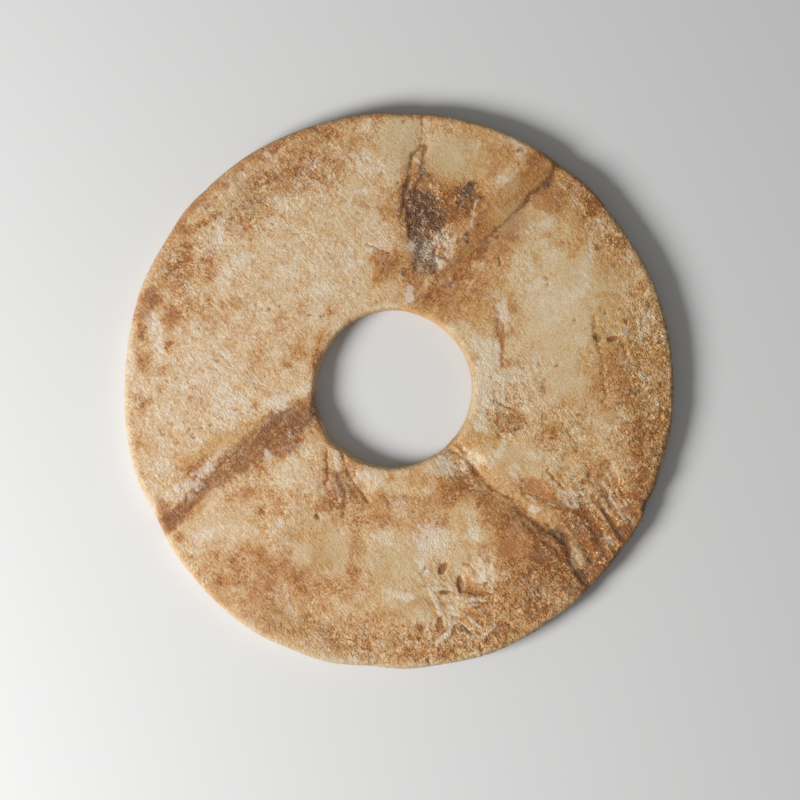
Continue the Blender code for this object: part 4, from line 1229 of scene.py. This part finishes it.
def decayed_colour(nodes, colour):
    """Chalky patches, and the nearly black decay with its ashen crumbs."""
    colour = nodes.mix(nodes.ease(nodes["dark"], 0.02, 0.45, 0.0, 0.5), colour, PURPLE_BROWN)
    chalk = coverage(nodes, nodes["chalky"], nodes["pale"], soft=0.36, strength=1.3)
    chalk = nodes.product(chalk, nodes.ease(nodes["chalky"], 0.0, 0.4, 0.4, 1.0))
    colour = nodes.over(colour, CHALK, chalk, 0.75)
    dark = coverage(nodes, nodes["dark"], nodes.blend(pale=2.0, fine=1.6), soft=0.22)
    dark = nodes.product(dark, nodes.ease(nodes["dark"], 0.04, 0.3))
    colour = nodes.over(colour, NEAR_BLACK, dark, 0.85)
    ash = nodes.ease(nodes.blend(dark=0.5, pale=-1.4, fine=-1.0), 0.5, 0.8)
    ash = nodes.product(ash, nodes.ease(nodes["dark"], 0.1, 0.4))
    return nodes.over(colour, ASH, ash, 0.8)


def marked_colour(nodes, colour):
    """Soil in the hollows, pits, pale scratches and ridges, cracks, and threads of chalk."""
    colour = nodes.over(colour, SOIL, nodes.ease(nodes.blend(soil=1.0, fine=0.5), 0.3, 1.1), 0.4)
    pit = nodes.greater(nodes["pit"], nodes.product(nodes["scattered"], 0.42))
    colour = nodes.over(colour, PIT_BROWN, nodes.ease(nodes.blend(pit, fine=0.4), 0.3, 0.7), 0.9)
    lines = nodes.greater(nodes["scratch"], nodes["ridge"])
    colour = nodes.over(colour, CHALK, nodes.ease(nodes.blend(lines, fleck=0.8), 0.25, 0.85), 0.62)
    crack = nodes.ease(nodes.blend(crack=1.0, fleck=0.8), 0.35, 1.05)
    colour = nodes.over(colour, CRACK_BROWN, crack, 0.85)
    threads = nodes.greater(nodes.threads(1.6, 3.0, -50.0), nodes.threads(1.9, 43.0, 68.0))
    return nodes.over(colour, CHALK, threads, 0.22)


def edged_colour(nodes, colour):
    """The rim's and the hole's walls, coloured as painted shade and light: the rim's walls kept dark against
    the low light, the hole's wall lighter on its shaded left side and darker on its lit right side.
    """
    # Painted shade on the rim's walls: darker cream to tan against the low light
    rim = nodes.mix(nodes.ease(nodes.blend(brown=1.0, mottle=0.5), -0.1, 0.8), RIM_CREAM_PAINTED_SHADE, RIM_TAN_PAINTED_SHADE)
    # Painted light and shade on the hole's wall: lighter on its shaded left side and darker on its lit right
    # side, with ochre at its top
    lit_wall_share = nodes.ease(nodes.along(0), -0.5 * BORE_WIDTH, 0.5 * BORE_WIDTH)
    upwards = nodes.ease(nodes.along(1), 0.3 * BORE_WIDTH, 0.5 * BORE_WIDTH)
    bore = nodes.mix(upwards, nodes.mix(lit_wall_share, BORE_LEFT_PAINTED_LIGHT, BORE_RIGHT_PAINTED_SHADE), BORE_OCHRE)
    share = nodes.product(nodes["steep"], nodes.ease(nodes["brown"], 0.2, 0.9, 0.7, 0.35))
    return nodes.mix(share, colour, nodes.mix(nodes["bore"], rim, bore))


def stone_colour(nodes):
    """Colour of the stone, from its cream ground to its stains, decay, marks and walls."""
    colour = ground_colour(nodes)
    for layer in (stained_colour, decayed_colour, marked_colour, edged_colour):
        colour = layer(nodes, colour)

    gathered = nodes.ease(nodes.blend(clouds=1.0, mottle=0.6, polished=-0.6), -0.1, 0.4)
    dots = nodes.product(nodes.ease(nodes.specks(2.2), 0.17, 0.07), gathered)
    colour = nodes.over(colour, DOT_BROWN, dots, 0.8)

    # Painted shade: a grey multiply from the grain, fine and lump noises, standing in for the shading of
    # tiny relief and of the granules' lumps
    nodes["granules"] = nodes.product(nodes["lumps"], nodes["granular"])
    shade = nodes.ease(nodes.blend(grain=1.0, fine=0.6, granules=3.0), -1.2, 1.2, 0.78, 1.22)
    cast = nodes.mix(nodes.ease(nodes.along(0), -CAST_REACH, CAST_REACH), COOL_CAST, WARM_CAST)
    return nodes.times(nodes.times(colour, cast), shade)


def stone_material():
    """Altered jade: chalky cream with iron stain, smooth where it kept its polish."""
    material = bpy.data.materials.new(SLOT)
    material.use_nodes = True
    shader = material.node_tree.nodes["Principled BSDF"]
    shader.inputs["Specular IOR Level"].default_value = SHEEN_LEVEL
    nodes = Nodes(material.node_tree)
    nodes["creases"] = nodes.product(nodes.crease(2.6, 201.0), nodes["granular"])
    nodes["height"] = nodes.blend(grain=0.45, coarse=1.0, strokes=0.4, creases=-0.7)
    nodes.feed(shader.inputs["Base Color"], stone_colour(nodes))

    worn_smooth = nodes.ease(nodes["polished"], 0.1, 0.9, 0.72, 0.48)
    nodes.feed(shader.inputs["Roughness"], nodes.blend(worn_smooth, granular=0.12, grain=0.12))

    strength = nodes.blend(nodes.ease(nodes["polished"], 0.1, 0.9, 1.0, 0.3), granular=0.8)
    bump = nodes.add("ShaderNodeBump")
    bump.inputs["Strength"].default_value = 1.0
    bump.inputs["Distance"].default_value = BUMP_DISTANCE
    nodes.feed(bump.inputs["Height"], nodes.product(nodes["height"], strength))
    nodes.feed(shader.inputs["Normal"], bump.outputs[0])
    return material


def plain_floor():
    """A wide pale floor under the disc, which is no part of it."""
    half = FLOOR_SIZE / 2.0
    mesh = bpy.data.meshes.new("floor")
    corners = [(-half, -half, 0.0), (half, -half, 0.0), (half, half, 0.0), (-half, half, 0.0)]
    mesh.from_pydata(corners, [], [(0, 1, 2, 3)])
    material = bpy.data.materials.new("floor_paint")
    material.use_nodes = True
    shader = material.node_tree.nodes["Principled BSDF"]
    shader.inputs["Base Color"].default_value = FLOOR_COLOUR
    shader.inputs["Roughness"].default_value = 0.9
    mesh.materials.append(material)
    floor = bpy.data.objects.new("floor", mesh)
    bpy.context.scene.collection.objects.link(floor)


def studio_light():
    """One soft light low on the left, and an even fill from all round."""
    lamp = bpy.data.lights.new("key", "AREA")
    lamp.shape = "DISK"
    lamp.size = KEY_SIZE
    lamp.energy = KEY_POWER
    key = bpy.data.objects.new("key", lamp)
    key.location = KEY_PLACE
    key.rotation_mode = "QUATERNION"
    key.rotation_quaternion = Vector(KEY_PLACE).to_track_quat("Z", "Y")
    bpy.context.scene.collection.objects.link(key)

    world = bpy.data.worlds.new("studio")
    world.use_nodes = True
    world.node_tree.nodes["Background"].inputs["Color"].default_value = (1.0, 1.0, 1.0, 1.0)
    world.node_tree.nodes["Background"].inputs["Strength"].default_value = FILL_LIGHT
    bpy.context.scene.world = world
    bpy.context.scene.view_settings.view_transform = "Standard"


def overhead_camera():
    """A camera that looks straight down on the disc."""
    camera = bpy.data.objects.new("camera", bpy.data.cameras.new("camera"))
    camera.data.lens = LENS
    camera.data.sensor_width = SENSOR
    camera.data.clip_start = 0.01
    camera.location = (CAMERA_X, CAMERA_Y, CAMERA_HEIGHT)
    bpy.context.scene.collection.objects.link(camera)
    bpy.context.scene.camera = camera


overhead_camera()
studio_light()
plain_floor()
stone = stone_piece()
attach(stone, "root")
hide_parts(NODE)
